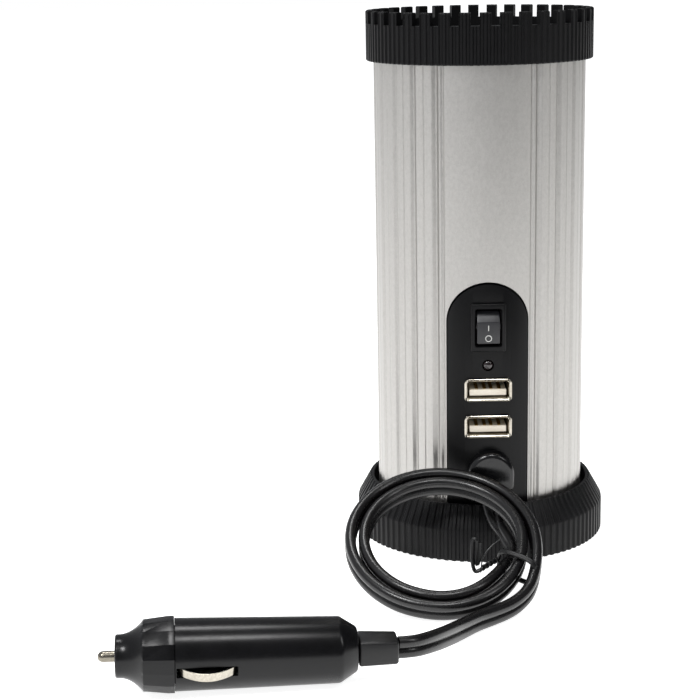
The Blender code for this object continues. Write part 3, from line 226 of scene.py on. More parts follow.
@dataclass(frozen=True)
class FuseGlass:
    """Clear drawn glass tube between plated caps, a little milky from handling."""

    name: str = "drawn fuse glass"
    tint: str = "DDE6E4"

    def build(self) -> bpy.types.Material:
        """Return the finish as a material."""
        material, tree = new_material(self.name)
        place = node(tree, "TexCoord").outputs["Object"]
        haze = node(tree, "TexNoise", {"Scale": 900.0, "Detail": 2.0},
                    {"Vector": place}).outputs[0]
        gloss = node(tree, "MapRange", {3: 0.05, 4: 0.16}, {0: haze}).outputs[0]
        shader = node(tree, "BsdfPrincipled",
                      {"Base Color": linear(self.tint), "Transmission Weight": 0.8, "IOR": 1.5},
                      {"Roughness": gloss})
        node(tree, "OutputMaterial", None, {"Surface": shader.outputs[0]})
        return material


# Anodised extrusion: bright, with a fine sparkle drawn out along the can.
ALUMINIUM = Surface("satin anodised aluminium", "B3B1AE", "A8A6A3", 0.42, 0.3, 0.014,
                    metallic=1.0, patch=0.9, stretch=1.5, uneven=0.04)
# Black ABS from a spark-eroded mould: dull, with a faint grain.
CAP_ABS = Surface("moulded black ABS", "0B0B0C", "080809", 0.44, 0.35, 0.03, specular=0.16)
# Charcoal ABS: the same mould texture, a shade greyer and dustier.
BASE_ABS = Surface("moulded charcoal ABS", "101011", "0B0B0C", 0.44, 0.35, 0.03, specular=0.2)
# Fascia ABS: a finer texture, which gives a soft sheen.
PANEL_ABS = Surface("fine-textured black ABS", "0B0B0C", "080809", 0.34, 0.22, 0.012,
                    specular=0.16)
# Flexible PVC of the cord's hood: glossy, so its rounded edge catches the light.
HOOD_PVC = Surface("moulded flexible PVC", "09090A", "060607", 0.2, 1.2, 0.01, specular=0.45)
# Nylon of the rocker switch: a little greyer, with a smooth pressed face. The sockets' tongue roots
# also get it, as painted shade.
SWITCH_NYLON = Surface("moulded black nylon", "202023", "19191C", 0.34, 0.3, 0.012,
                       specular=0.45)
# Pad-printed ink, flat and pale grey.
INK = Surface("pad-printed pale ink", "C9C9C6", "A9A9A6", 0.6, 0.15, 0.01)
# Soft PVC of the twin lead: wet-looking highlights along each core.
LEAD_PVC = Surface("extruded soft PVC", "0C0B0C", "080708", 0.28, 2.6, 0.02, specular=0.5,
                   uneven=0.03)
# Hard ABS of the plug: polished mould, with faint sink marks.
PLUG_ABS = Surface("polished black ABS", "08080A", "050506", 0.25, 2.6, 0.012, specular=0.28,
                   uneven=0.03)
# Boot of the plug: the lead's PVC, moulded dull.
BOOT_PVC = Surface("moulded soft PVC", "0F0F10", "0A0A0B", 0.38, 0.5, 0.02, specular=0.35)
# Nickel plate on pressed brass and steel: bright and a little warm.
NICKEL = Surface("bright nickel plate", "BDB8AD", "A09A8E", 0.2, 0.6, 0.006, metallic=1.0,
                 uneven=0.04)
# The plug's pin: the same plate, dulled where it rubs, so its edges stay dark.
PIN_NICKEL = Surface("worn nickel plate", "8F8A7E", "6E695F", 0.24, 0.6, 0.006, metallic=1.0,
                     uneven=0.05)
# Glass-filled nylon of the sockets' tongues: cream, with a dull moulded skin.
TONGUE = Surface("cream glass-filled nylon", "DCD5C8", "CCC3B3", 0.42, 0.3, 0.015)
# Acrylic lens, smoked so dark that it reads as black until it is lit.
LENS = Surface("smoked acrylic lens", "1C1213", "120B0C", 0.1, 1.5, 0.004, coat=0.6)
# Paper-covered steel wire of the twist tie, lacquered black.
TIE_PAPER = Surface("lacquered paper over wire", "121213", "0B0B0C", 0.36, 0.4, 0.04, specular=0.4)
BRASS = Surface("pressed brass", "D2B36A", "B8944A", 0.3, 0.5, 0.01, metallic=1.0)
ZINC = Surface("zinc-plated steel", "C4C5C7", "A5A7A9", 0.32, 0.5, 0.015, metallic=1.0)
FERRITE = Surface("sintered ferrite", "3B3B3D", "2C2C2E", 0.62, 0.5, 0.06)
SLEEVE = Surface("shrunk PVC sleeve", "22345A", "182643", 0.3, 1.2, 0.02)
FILM = Surface("dipped epoxy", "D0A92C", "B28C1C", 0.32, 1.5, 0.05, coat=0.3)
RED_PVC = Surface("red wire insulation", "A81E1C", "8B1614", 0.35, 0.8, 0.02)
BLACK_PVC = Surface("black wire insulation", "1C1C1E", "141416", 0.35, 0.8, 0.02)
BOARD = CircuitBoard()
COPPER = Winding()
GLASS = FuseGlass()

Finish = Surface | CircuitBoard | Winding | FuseGlass
FINISH_OF_SLOT: dict[str, Finish] = {
    "satin_aluminium": ALUMINIUM, "cap_plastic": CAP_ABS, "base_plastic": BASE_ABS,
    "panel_plastic": PANEL_ABS, "rocker_plastic": SWITCH_NYLON, "smoked_lens": LENS,
    "nickel": NICKEL, "cream_plastic": TONGUE, "green_laminate": BOARD,
    "cord_rubber": LEAD_PVC, "plug_plastic": PLUG_ABS, "brass": BRASS, "steel": ZINC,
    "ferrite": FERRITE, "copper_enamel": COPPER, "capacitor_sleeve": SLEEVE,
    "film_case": FILM, "fuse_glass": GLASS, "red_wire": RED_PVC, "black_wire": BLACK_PVC,
}
_built: dict[str, bpy.types.Material] = {}


def material_of(finish: Finish) -> bpy.types.Material:
    """Return the finish's material, made once."""
    if finish.name not in _built:
        _built[finish.name] = finish.build()
    return _built[finish.name]


# Modelling

def activate(item: bpy.types.Object) -> None:
    """Make the item the only one selected, and active."""
    bpy.ops.object.select_all(action="DESELECT")
    item.select_set(True)
    bpy.context.view_layer.objects.active = item


@contextmanager
def editing(item: bpy.types.Object) -> Iterator[None]:
    """Open the item in edit mode with all of it selected, and close it afterwards."""
    activate(item)
    bpy.ops.object.mode_set(mode="EDIT")
    bpy.ops.mesh.select_all(action="SELECT")
    yield
    bpy.ops.object.mode_set(mode="OBJECT")


def named(name: str) -> bpy.types.Object:
    """Name the object that an operator has just added, and return it."""
    item = bpy.context.object
    item.name = name
    item.data.name = name
    return item


def weld(item: bpy.types.Object, close: bool = False) -> None:
    """Merge doubles, close open ends if asked, and turn the faces outwards."""
    with editing(item):
        bpy.ops.mesh.remove_doubles(threshold=WELD)
        bpy.ops.mesh.dissolve_degenerate(threshold=WELD)
        bpy.ops.mesh.delete_loose(use_verts=True, use_edges=True, use_faces=False)
        if close:
            bpy.ops.mesh.select_all(action="SELECT")
            bpy.ops.mesh.fill_holes(sides=0)
        bpy.ops.mesh.select_all(action="SELECT")
        bpy.ops.mesh.normals_make_consistent(inside=False)


def lathe(name: str, profile: Outline, steps: int = 96) -> bpy.types.Object:
    """Spin a closed (radius, height) profile round Z.

    Args:
        name: The piece's name.
        profile: Its points in millimetres, in order.
        steps: Faces round the axis.

    Returns:
        The turned piece.
    """
    bpy.ops.object.select_all(action="DESELECT")
    bpy.ops.mesh.primitive_circle_add(vertices=len(profile), radius=MM, fill_type="NOTHING")
    item = named(name)
    for vertex, (radius, height) in zip(item.data.vertices, profile):
        vertex.co = Vector((radius, 0, height)) * MM
    with editing(item):
        bpy.ops.mesh.spin(steps=steps, angle=2 * math.pi, center=(0, 0, 0), axis=(0, 0, 1))
    weld(item)
    return item


def wrapped(name: str, columns: int, rows: int, surface: Callable[[int, int], Vector],
            close: bool = False) -> bpy.types.Object:
    """Wrap a grid into a shape whose edges meet.

    Args:
        name: The piece's name.
        columns: Faces across the grid.
        rows: Faces up the grid.
        surface: Gives the place, in millimetres, of a column and row's corner.
        close: Whether open ends are filled.

    Returns:
        The wrapped piece.
    """
    bpy.ops.object.select_all(action="DESELECT")
    bpy.ops.mesh.primitive_grid_add(x_subdivisions=columns, y_subdivisions=rows, size=1.0)
    item = named(name)
    for vertex in item.data.vertices:
        column = round((vertex.co.x + 0.5) * columns)
        row = round((vertex.co.y + 0.5) * rows)
        vertex.co = surface(column, row) * MM
    weld(item, close)
    return item


def plate(name: str, outlines: Sequence[Outline], low: float, high: float,
          turn: Matrix | None = None) -> bpy.types.Object:
    """Extrude flat outlines, the inner ones as holes, from low to high along Z, then turn it."""
    curve = bpy.data.curves.new(name, "CURVE")
    curve.dimensions = "2D"
    curve.fill_mode = "BOTH"
    curve.extrude = (high - low) / 2 * MM
    for outline in outlines:
        spline = curve.splines.new("POLY")
        spline.points.add(len(outline) - 1)
        spline.use_cyclic_u = True
        for point, (x, y) in zip(spline.points, outline):
            point.co = (x * MM, y * MM, 0.0, 1.0)
    item = bpy.data.objects.new(name, curve)
    bpy.context.scene.collection.objects.link(item)
    activate(item)
    bpy.ops.object.convert(target="MESH")
    item = bpy.context.object
    item.data.transform((turn or Matrix()) @ Matrix.Translation((0, 0, (low + high) / 2 * MM)))
    weld(item)
    return item


def front_plate(name: str, outlines: Sequence[Outline], back: float,
                front: float) -> bpy.types.Object:
    """Extrude (x, z) outlines along Y, from back to the smaller Y of the front."""
    return plate(name, outlines, -back, -front, FRONTWARD)


def block(name: str, low: Point, high: Point, bevel: float = 0.0,
          segments: int = 2) -> bpy.types.Object:
    """Add a box between two corners, its edges bevelled."""
    low, high = Vector(low), Vector(high)
    bpy.ops.object.select_all(action="DESELECT")
    bpy.ops.mesh.primitive_cube_add(size=MM, location=(low + high) / 2 * MM)
    item = named(name)
    item.scale = high - low
    bpy.ops.object.transform_apply(location=True, rotation=True, scale=True)
    if bevel:
        with editing(item):
            bpy.ops.mesh.bevel(offset=bevel * MM, segments=segments, affect="EDGES")
    return item


def apply(item: bpy.types.Object, kind: str, **settings: object) -> bpy.types.Object:
    """Add a modifier with its settings and apply it."""
    activate(item)
    modifier = item.modifiers.new(kind.lower(), kind)
    for key, value in settings.items():
        setattr(modifier, key, value)
    bpy.ops.object.modifier_apply(modifier=modifier.name)
    return item


def combine(item: bpy.types.Object, operation: str,
            *others: bpy.types.Object) -> bpy.types.Object:
    """Cut, join or intersect the item with others, which are used up."""
    for other in others:
        apply(item, "BOOLEAN", operation=operation, object=other, solver="EXACT")
        bpy.data.objects.remove(other, do_unlink=True)
    return item


def soften(item: bpy.types.Object, width: float, segments: int = 2,
           angle: float = 35.0, clamp: bool = True) -> bpy.types.Object:
    """Round the item's sharp edges by a width in millimetres."""
    return apply(item, "BEVEL", width=width * MM, segments=segments, limit_method="ANGLE",
                 angle_limit=math.radians(angle), miter_outer="MITER_ARC",
                 use_clamp_overlap=clamp)


def merged(name: str, items: Sequence[bpy.types.Object]) -> bpy.types.Object:
    """Join several objects into one of that name."""
    activate(items[0])
    for item in items[1:]:
        item.select_set(True)
    bpy.ops.object.join()
    return named(name)


def settle(item: bpy.types.Object, finish: Finish, nodes: Sequence[str] = (),
           body: Body = Body.CASE, smooth: float = 32.0) -> bpy.types.Object:
    """Dress a finished piece, put it on its body and hide the CAD nodes it stands for.

    Args:
        item: The piece.
        finish: Its finish.
        nodes: The CAD nodes it replaces.
        body: The body it moves with.
        smooth: The sharpest angle that is shaded smooth, in degrees.

    Returns:
        The piece.
    """
    item.data.materials.clear()
    item.data.materials.append(material_of(finish))
    activate(item)
    bpy.ops.object.shade_smooth_by_angle(angle=math.radians(smooth))
    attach(item, body.value)
    if nodes:
        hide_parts(*nodes)
    LOG.info("%s: %d faces", item.name, len(item.data.polygons))
    return item


def arc(centre: Point, radius: float, start: float, end: float, count: int) -> Outline:
    """Return points along an arc, with angles in degrees."""
    angles = [math.radians(start + (end - start) * i / count) for i in range(count + 1)]
    return [(centre[0] + radius * math.cos(a), centre[1] + radius * math.sin(a)) for a in angles]


def ring(centre: Point, radius: float, count: int = 48) -> Outline:
    """Return a circle's points."""
    return arc(centre, radius, 0, 360, count)[:-1]


def rounded(width: float, height: float, radius: float, centre: Point = (0.0, 0.0),
            count: int = 5) -> Outline:
    """Return the outline of a rectangle with round corners."""
    points = []
    for i, (sx, sy) in enumerate(((1, 1), (-1, 1), (-1, -1), (1, -1))):
        corner = (centre[0] + sx * (width / 2 - radius), centre[1] + sy * (height / 2 - radius))
        points += arc(corner, radius, 90 * i, 90 * i + 90, count)
    return points


def arched(half_width: float, top: float, bottom: float, x: float = 0.0) -> Outline:
    """Return the outline of a shape with a half-round top."""
    return (arc((x, top - half_width), half_width, 0, 180, 48)
            + [(x - half_width, bottom), (x + half_width, bottom)])


def around(item: bpy.types.Object, count: int, start: float = 0.0) -> list[bpy.types.Object]:
    """Copy a piece to evenly spaced places round Z, each copy with its own mesh."""
    copies = []
    for i in range(count):
        other = item.copy()
        other.data = item.data.copy()
        bpy.context.scene.collection.objects.link(other)
        other.data.transform(Matrix.Rotation(math.radians(start + 360 * i / count), 4, "Z"))
        copies.append(other)
    bpy.data.objects.remove(item, do_unlink=True)
    return copies


def smooth_line(knots: Sequence[Vector], step: float, passes: int = 6) -> list[Vector]:
    """Sample a smooth line through the knots, evenly, and relax it between its ends."""
    points = [2 * knots[0] - knots[1], *knots, 2 * knots[-1] - knots[-2]]
    dense = [points[1]]
    for a, b, c, d in zip(points, points[1:], points[2:], points[3:]):
        count = max(2, round((c - b).length / 0.25))
        for i in range(1, count + 1):
            t = i / count
            dense.append(0.5 * (2 * b + (c - a) * t + (2 * a - 5 * b + 4 * c - d) * t ** 2
                                + (3 * b - a - 3 * c + d) * t ** 3))
    line = np.array([tuple(p) for p in dense])
    run = np.concatenate([[0], np.cumsum(np.linalg.norm(np.diff(line, axis=0), axis=1))])
    even = np.linspace(0, run[-1], max(4, round(run[-1] / step)))
    line = np.column_stack([np.interp(even, run, line[:, k]) for k in range(line.shape[1])])
    for _ in range(passes):
        line[1:-1] = 0.25 * line[:-2] + 0.5 * line[1:-1] + 0.25 * line[2:]
    return [Vector(p) for p in line]


def tube(name: str, line: Sequence[Vector], outline: Outline,
         hints: Sequence[Vector] | None = None) -> bpy.types.Object:
    """Sweep an outline along a line.

    Args:
        name: The piece's name.
        line: The centreline in millimetres.
        outline: The section, its x along the hint.
        hints: The section's x direction at each point, or none for any.

    Returns:
        The swept piece, closed at both ends.
    """
    sides, ups = [], []
    side = Vector((1, 0, 0)) if abs((line[1] - line[0]).normalized().x) < 0.9 else Vector((0, 1, 0))
    for i in range(len(line)):
        along = (line[min(i + 1, len(line) - 1)] - line[max(i - 1, 0)]).normalized()
        side = Vector(hints[i]) if hints else side
        side = (side - along * side.dot(along)).normalized()
        sides.append(side)
        ups.append(along.cross(side))

    def surface(column: int, row: int) -> Vector:
        """Return the corner on the section at that row of the line."""
        x, y = outline[column % len(outline)]
        return line[row] + x * sides[row] + y * ups[row]

    return wrapped(name, len(outline), len(line) - 1, surface, close=True)


# Can, cap and base

@dataclass
class Can:
    """The fluted aluminium can."""

    radius: float = 33.0
    inner: float = 31.0
    bottom: float = 6.5
    top: float = 158.2
    groove: float = 0.85
    groove_half: float = 2.5
    line: float = 0.16
    line_half: float = 0.55
    edge: float = 0.42
    edge_half: float = 1.4
    first: float = 28.0
    grooves: int = 10
    columns: int = 1440
    notch_half: float = 12.55
    notch_top: float = 87.0
    rail_y: float = 4.0

    def outer(self) -> Outline:
        """Return the fluted outside, from the front round the can."""
        pitch = (180.0 - 2 * self.first) / (self.grooves - 1)
        dips = [(self.first + k * pitch, self.groove, self.groove_half)
                for k in range(self.grooves)]
        dips += [(self.first + (k + 0.5) * pitch, self.line, self.line_half)
                 for k in range(self.grooves - 1)]
        dips += [(edge, self.edge, self.edge_half) for edge in (24.0, 156.0)]
        points = []
        for i in range(self.columns):
            angle = 360.0 * i / self.columns
            fold = min(angle, 360.0 - angle)
            radius = self.radius
            for middle, depth, half in dips:
                if abs(fold - middle) < half:
                    radius -= depth * (0.5 + 0.5 * math.cos(math.pi * (fold - middle) / half))
            turn = math.radians(angle - 90.0)
            points.append((radius * math.cos(turn), radius * math.sin(turn)))
        return points

    def build(self) -> None:
        """Model the can with its board rails and its notch for the panel."""
        item = plate("can", [self.outer(), ring((0, 0), self.inner, 180)], self.bottom, self.top)
        rails = []
        for side in (-1, 1):
            for lift in (-1.8, 1.8):
                near, far = side * (self.inner - 2.8), side * (self.inner + 0.8)
                rails.append(block("rail", (min(near, far), self.rail_y + lift - 0.7, self.bottom),
                                   (max(near, far), self.rail_y + lift + 0.7, self.top)))
        combine(item, "UNION", *rails)
        notch = front_plate("notch", [arched(self.notch_half, self.notch_top, -1.0)],
                            -16.0, -36.0)
        combine(item, "DIFFERENCE", notch)
        settle(item, ALUMINIUM, ["body_tube"], smooth=28.0)


def ribbed(name: str, profile: Sequence[tuple[float, float, float]], ribs: int,
           per_rib: int) -> bpy.types.Object:
    """Turn a closed profile with vertical ribs.

    Args:
        name: The piece's name.
        profile: Points of (radius, height, depth of the ribs there).
        ribs: Ribs round the piece.
        per_rib: Faces across one rib and its gap.

    Returns:
        The ribbed ring.
    """
    columns = ribs * per_rib

    def surface(column: int, row: int) -> Vector:
        """Return the corner on the ribbed profile."""
        radius, height, depth = profile[row % len(profile)]
        share = (column % per_rib) / per_rib
        radius -= depth * min(1.0, max(0.0, 1.6 * math.cos(2 * math.pi * share) + 0.5))
        turn = 2 * math.pi * column / columns
        return Vector((radius * math.cos(turn), radius * math.sin(turn), height))

    return wrapped(name, columns, len(profile), surface)


@dataclass
class Cap:
    """The castellated cap, and the mains outlet in its deck."""

    radius: float = 35.3
    bottom: float = 151.8
    top: float = 167.1
    rim: float = 33.2
    skirt: float = 33.3
    deck: float = 160.5
    deck_low: float = 158.5
    teeth: int = 36
    gap: float = 2.65
    gap_turn: float = 3.4
    gap_floor: float = 163.2
    ribs: int = 108
    rib_depth: float = 0.42
    outlet: float = 16.7
    vents: int = 24

    def build_cap(self) -> None:
        """Model the cap: ribbed skirt, square teeth and a vented deck."""
        d = self.rib_depth
        profile = [(self.rim, self.top - 0.3, 0), (self.rim + 0.3, self.top, 0),
                   (self.radius - 0.35, self.top, d), (self.radius, self.top - 0.35, d),
                   (self.radius, self.bottom + 0.3, d), (self.radius - 0.3, self.bottom, d),
                   (self.skirt, self.bottom, 0), (self.skirt, self.deck_low, 0),
                   (self.outlet + 0.3, self.deck_low, 0), (self.outlet + 0.3, self.deck, 0),
                   (self.rim, self.deck, 0)]
        cap = ribbed("castellated_cap", profile, self.ribs, 6)
        mid = self.radius - 1.0
        gap = block("gap", (mid - 4, -self.gap / 2, self.gap_floor),
                    (mid + 4, self.gap / 2, self.top + 2))
        combine(cap, "DIFFERENCE", merged("gaps", around(gap, self.teeth, self.gap_turn)))
        vent = plate("vent", [rounded(11.0, 2.2, 1.0, (25.5, 0))], self.deck_low - 1, self.deck + 1)
        combine(cap, "DIFFERENCE", merged("vents", around(vent, self.vents)))
        settle(cap, CAP_ABS, ["top_cap"], smooth=25.0)

    def build_outlet(self) -> None:
        """Model the outlet's insert, with softened openings for two blades and a pin."""
        face, low = self.deck + 0.7, 143.0
        shoulder, flange = 158.2, 155.2
        r = self.outlet
        profile = [(0, face), (r - 0.6, face), (r - 0.18, face - 0.18), (r, face - 0.6),
                   (r, shoulder), (r + 1.9, shoulder), (r + 1.9, flange), (r - 1.7, flange),
                   (r - 1.7, low), (0, low)]
        insert = lathe("outlet_face", profile, 120)
        dish = lathe("dish", [(0, face + 1), (r - 3.0, face + 1), (r - 3.0, face - 0.5),
                              (0, face - 0.5)], 96)
        combine(insert, "DIFFERENCE", dish)
        openings = []
        for side, length in ((1, 6.9), (-1, 8.4)):
            x = side * 6.35
            openings.append(block("slot", (x - 0.95, 3.5 - length / 2, face - 4.5),
                                  (x + 0.95, 3.5 + length / 2, face + 1)))
            openings.append(block("pocket", (x - 2.1, -1.0, low - 1), (x + 2.1, 8.0, face - 3.5)))
        openings.append(plate("pin_hole", [arc((0, -8.4), 2.6, 180, 360, 24)
                                           + [(2.6, -6.9), (-2.6, -6.9)]], face - 4.5, face + 1))
        openings.append(plate("pin_pocket", [ring((0, -8.4), 3.6, 36)], low - 1, face - 3.5))
        combine(insert, "DIFFERENCE", *openings)
        soften(insert, 0.15, 1)
        settle(insert, CAP_ABS, ["outlet_insert"])


@dataclass
class Base:
    """The flared base ring."""

    radius: float = 39.9
    wall: float = 2.0
    skirt: float = 10.1
    rim: float = 36.0
    height: float = 17.3
    collar: float = 33.5
    collar_top: float = 12.0
    ribs: int = 100
    rib_depth: float = 0.5
    screw_circle: float = 35.2

    def build(self) -> None:
        """Model the ring, ribbed from its rim to the floor."""
        d, ledge = self.rib_depth, 6.5
        inside, rim_inside = self.radius - self.wall, self.rim - 1.4
        profile = [(rim_inside, self.height - 0.2, 0), (rim_inside + 0.2, self.height, 0),
                   (self.rim - 0.2, self.height, d), (self.rim, self.height - 0.25, d),
                   (self.radius - 0.15, self.skirt + 0.3, d), (self.radius, self.skirt - 0.3, d),
                   (self.radius, 0.3, d), (self.radius - 0.3, 0, d), (inside, 0, 0),
                   (inside, ledge, 0), (self.collar, ledge, 0), (self.collar, self.collar_top, 0),
                   (rim_inside, self.collar_top, 0)]
        item = ribbed("flared_base", profile, self.ribs, 6)
        hole = lathe("screw_hole", [(0, 1.0), (1.3, 1.0), (1.3, 11.4), (0, 11.4)], 24)
        hole.data.transform(Matrix.Translation((self.screw_circle * MM, 0, 0)))
        combine(item, "DIFFERENCE", *around(hole, 3, 90.0))
        settle(item, BASE_ABS, ["base_ring"], smooth=25.0)


# Control panel

@dataclass
class Panel:
    """The curved control panel, with its switch, light, sockets and cord outlet."""

    radius: float = 33.2
    wall: float = 3.2
    half: float = 12.25
    top: float = 86.3
    bottom: float = 6.5
    switch_z: float = 73.2
    light_z: float = 61.2
    sockets: tuple[tuple[str, float], ...] = (("upper", 53.5), ("lower", 41.9))
    socket_width: float = 12.5
    socket_height: float = 5.1
    gland_x: float = 0.7
    gland_z: float = 27.4
    bezel_front: float = -34.6

    def bent(self, name: str, inner: float, outer: float, half: float, top: float,
             edge: float) -> bpy.types.Object:
        """Return a plate bent round the can, with an arched outline."""
        high = self.top + 6.0
        item = lathe(name, [(inner, high), (outer, high), (outer, self.bottom),
                            (inner, self.bottom)], 360)
        shape = front_plate(f"{name}_shape", [arched(half, top, self.bottom - 1)], -16.0, -40.0)
        combine(item, "INTERSECT", shape)
        return soften(item, edge, 2, 50.0) if edge else item

    def build_panel(self) -> None:
        """Model the panel, its rear flange and its openings."""
        panel = self.bent("control_panel", self.radius - self.wall, self.radius, self.half,
                          self.top, 0.35)
        flange = self.bent("flange", 28.9, 30.7, self.half + 1.8, self.top + 1.8, 0.0)
        combine(panel, "UNION", flange)
        for x in (-9.5, 9.5):
            for z in (37.5, 58.5):
                boss = plate("boss", [ring((x, z), 1.8, 24)], 20.0, 30.4, FRONTWARD)
                combine(panel, "UNION", boss)
        openings = [rounded(9.2, 13.6, 0.5, (0, self.switch_z)),
                    ring((0, self.light_z), 1.8), ring((self.gland_x, self.gland_z), 3.9)]
        openings += [rounded(13.9, 6.5, 0.8, (0, z)) for _, z in self.sockets]
        for outline in openings:
            combine(panel, "DIFFERENCE", front_plate("opening", [outline], -16.0, -36.0))
        settle(panel, PANEL_ABS, ["front_panel"])

    def build_switch(self) -> None:
        """Model the switch's frame with its sloped bezel and deep well."""
        z, front = self.switch_z, self.bezel_front
        frame_item = block("switch_frame", (-5.3, front, z - 7.4), (5.3, front + 1.1, z + 7.4))
        with editing(frame_item):
            bpy.ops.mesh.bevel(offset=0.4 * MM, segments=3, affect="EDGES")
        body = block("switch_body", (-4.3, front + 0.8, z - 6.5), (4.3, front + 12.6, z + 6.5), 0.3)
        combine(frame_item, "UNION", body)
        well = front_plate("well", [rounded(7.5, 11.1, 0.3, (0, z))], front + 11.6, front - 1)
        combine(frame_item, "DIFFERENCE", well)
        chamfer = wrapped("well_edge", 24, 4, self._well_edge)
        combine(frame_item, "DIFFERENCE", chamfer)
        axle = lathe("axle_hole", [(0, -4.4), (1.1, -4.4), (1.1, 4.4), (0, 4.4)], 24)
        axle.data.transform(Matrix.Translation((0, (front + 1.8) * MM, z * MM))
                            @ Matrix.Rotation(math.radians(90), 4, "Y"))
        combine(frame_item, "DIFFERENCE", axle)
        settle(frame_item, PANEL_ABS, ["switch_housing"])

    def _well_edge(self, column: int, row: int) -> Vector:
        """Return a corner of the wedge that slopes the well's front edge."""
        spread = (0.0, 0.0, 0.45, 0.45)[row % 4]
        depth = (1.0, 0.7, 0.0, -0.5)[row % 4]
        outline = rounded(7.5 + 2 * spread, 11.1 + 2 * spread, 0.3 + spread, (0, self.switch_z))
        share = (0.2, 1.0, 1.0, 0.2)[row % 4]
        x, y = outline[column % len(outline)]
        return Vector((x * share, self.bezel_front + depth,
                       self.switch_z + (y - self.switch_z) * share))

    def build_rocker(self) -> None:
        """Model the rocker with its sloped upper face and its printed marks."""
        z, pivot = self.switch_z, self.bezel_front + 1.8
        profile = [(-2.1, -4.9), (-2.16, -1.5), (-2.1, 1.8), (-1.0, 3.3), (0.3, 5.0), (1.6, 4.2),
                   (2.6, 0.0), (1.6, -4.6)]
        side_on = Matrix(((0, 0, 1, 0), (1, 0, 0, pivot * MM), (0, 1, 0, z * MM), (0, 0, 0, 1)))
        rocker = plate("rocker", [profile], -3.45, 3.45, side_on)
        soften(rocker, 0.22, 3, 20.0)
        axle = lathe("axle", [(0, -4.1), (0.8, -4.1), (0.8, 4.1), (0, 4.1)], 24)
        axle.data.transform(Matrix.Translation((0, pivot * MM, z * MM))
                            @ Matrix.Rotation(math.radians(90), 4, "Y"))
        combine(rocker, "UNION", axle)
        settle(rocker, SWITCH_NYLON, ["switch_rocker"], Body.ROCKER, 25.0)
        face = pivot - 2.14
        bar = block("rocker_mark_on", (-0.13, face - 0.06, z - 0.85), (0.13, face + 0.1, z + 0.85),
                    0.03, 1)
        settle(bar, INK, body=Body.ROCKER)
        loop = front_plate("rocker_mark_off", [ring((0, z - 3.2), 1.02, 40),
                                               ring((0, z - 3.2), 0.78, 40)],
                           face + 0.1, face - 0.06)
        settle(loop, INK, body=Body.ROCKER)

    def build_light(self) -> None:
        """Model the smoked lens of the power light."""
        dome = [(1.5 * math.sin(math.radians(a)), 33.5 - 0.9 * (1 - math.cos(math.radians(a))))
                for a in range(0, 91, 10)]
        lens = lathe("light_lens", dome + [(1.5, 27.6), (2.2, 27.6), (2.2, 24.6), (0, 24.6)], 48)
        lens.data.transform(Matrix.Translation((0, 0, self.light_z * MM)) @ FRONTWARD)
        settle(lens, LENS, ["power_led"])

    def build_socket(self, level: str, z: float) -> None:
        """Model one socket: a shell with a flared mouth, its tongue and four contacts."""
        w, h, front = self.socket_width, self.socket_height, -34.0
        rows = ((w, h, 0.4, -20.0), (w, h, 0.4, front + 0.75), (w + 0.7, h + 0.7, 0.9, front + 0.3),
                (w + 1.75, h + 1.75, 1.25, front), (w + 2.0, h + 2.0, 1.35, front + 0.12),
                (w + 2.0, h + 2.0, 1.35, front + 0.5), (w + 0.8, h + 0.8, 0.8, front + 0.75),
                (w + 0.8, h + 0.8, 0.8, -20.0))
        outlines = [rounded(wide, high, corner, (0, z), 4) for wide, high, corner, _ in rows]

        def surface(column: int, row: int) -> Vector:
            """Return a corner of the shell's flared wall."""
            x, y = outlines[row % len(rows)][column % len(outlines[0])]
            return Vector((x, rows[row % len(rows)][3], y))

        shell = wrapped(f"socket_shell_{level}", len(outlines[0]), len(rows), surface)
        for side in (-1, 1):
            for lift in (-1, 1):
                slit = block("slit", (-1.6, front - 1, -0.14), (1.6, front + 0.62, 0.14))
                corner = Vector((side * (w / 2 + 0.75), 0, z + lift * (h / 2 + 0.75)))
                slit.data.transform(Matrix.Translation(corner * MM)
                                    @ Matrix.Rotation(math.radians(-45 * side * lift), 4, "Y"))
                combine(shell, "DIFFERENCE", slit)
        settle(shell, NICKEL, [f"usb_shell_{level}"], smooth=40.0)
        low = z - h / 2 + 0.7
        tongue = block(f"socket_tongue_{level}", (-5.65, front + 1.2, low),
                       (5.65, -21.5, low + 1.9), 0.2)
        # The tongue's root gets dark nylon instead of the tongue's cream: painted shade deep inside
        # the socket.
        root = block("root", (-5.95, -22.2, z - h / 2 + 0.3), (5.95, -20.0, z + h / 2 - 0.3), 0.1)
        root.name = f"socket_root_painted_shade_{level}"
        settle(root, SWITCH_NYLON)
        settle(tongue, TONGUE, [f"usb_tongue_{level}"])
        strips = []
        for x in (-3.5, -1.0, 1.0, 3.5):
            strip = block("strip", (x - 0.5, front + 1.9, low + 1.85), (x + 0.5, -23.0, low + 2.0))
            with editing(strip):
                bpy.ops.mesh.subdivide(number_cuts=5)
            for vertex in strip.data.vertices:
                reach = (vertex.co.y / MM - front - 1.9) / 9.1
                vertex.co.z += 0.45 * MM * math.sin(math.pi * min(1.0, max(0.0, reach)))
            strips.append(strip)
        settle(merged(f"socket_contacts_{level}", strips), BRASS)

    def build_gland(self) -> None:
        """Model the cord outlet's rounded hood."""
        x, z, front = self.gland_x, self.gland_z, -38.1
        hood = front_plate("cord_hood", [arched(7.1, z + 7.1, 22.5, x)], -31.0, front)
        soften(hood, 1.5, 5, 40.0, clamp=False)
        seat = lathe("seat", [(0, 0), (33.5, 0), (33.5, 60), (0, 60)], 256)
        combine(hood, "DIFFERENCE", seat)
        mouth = block("mouth", (x - 3.7, front + 0.5, 20.0), (x + 3.7, front + 4.6, 25.0), 0.5)
        combine(hood, "DIFFERENCE", mouth)
        stem = plate("stem", [ring((x, z), 3.6, 36)], 26.5, 36.0, FRONTWARD)
        combine(hood, "UNION", stem)
        settle(hood, HOOD_PVC, ["cord_gland"])


# Twin lead

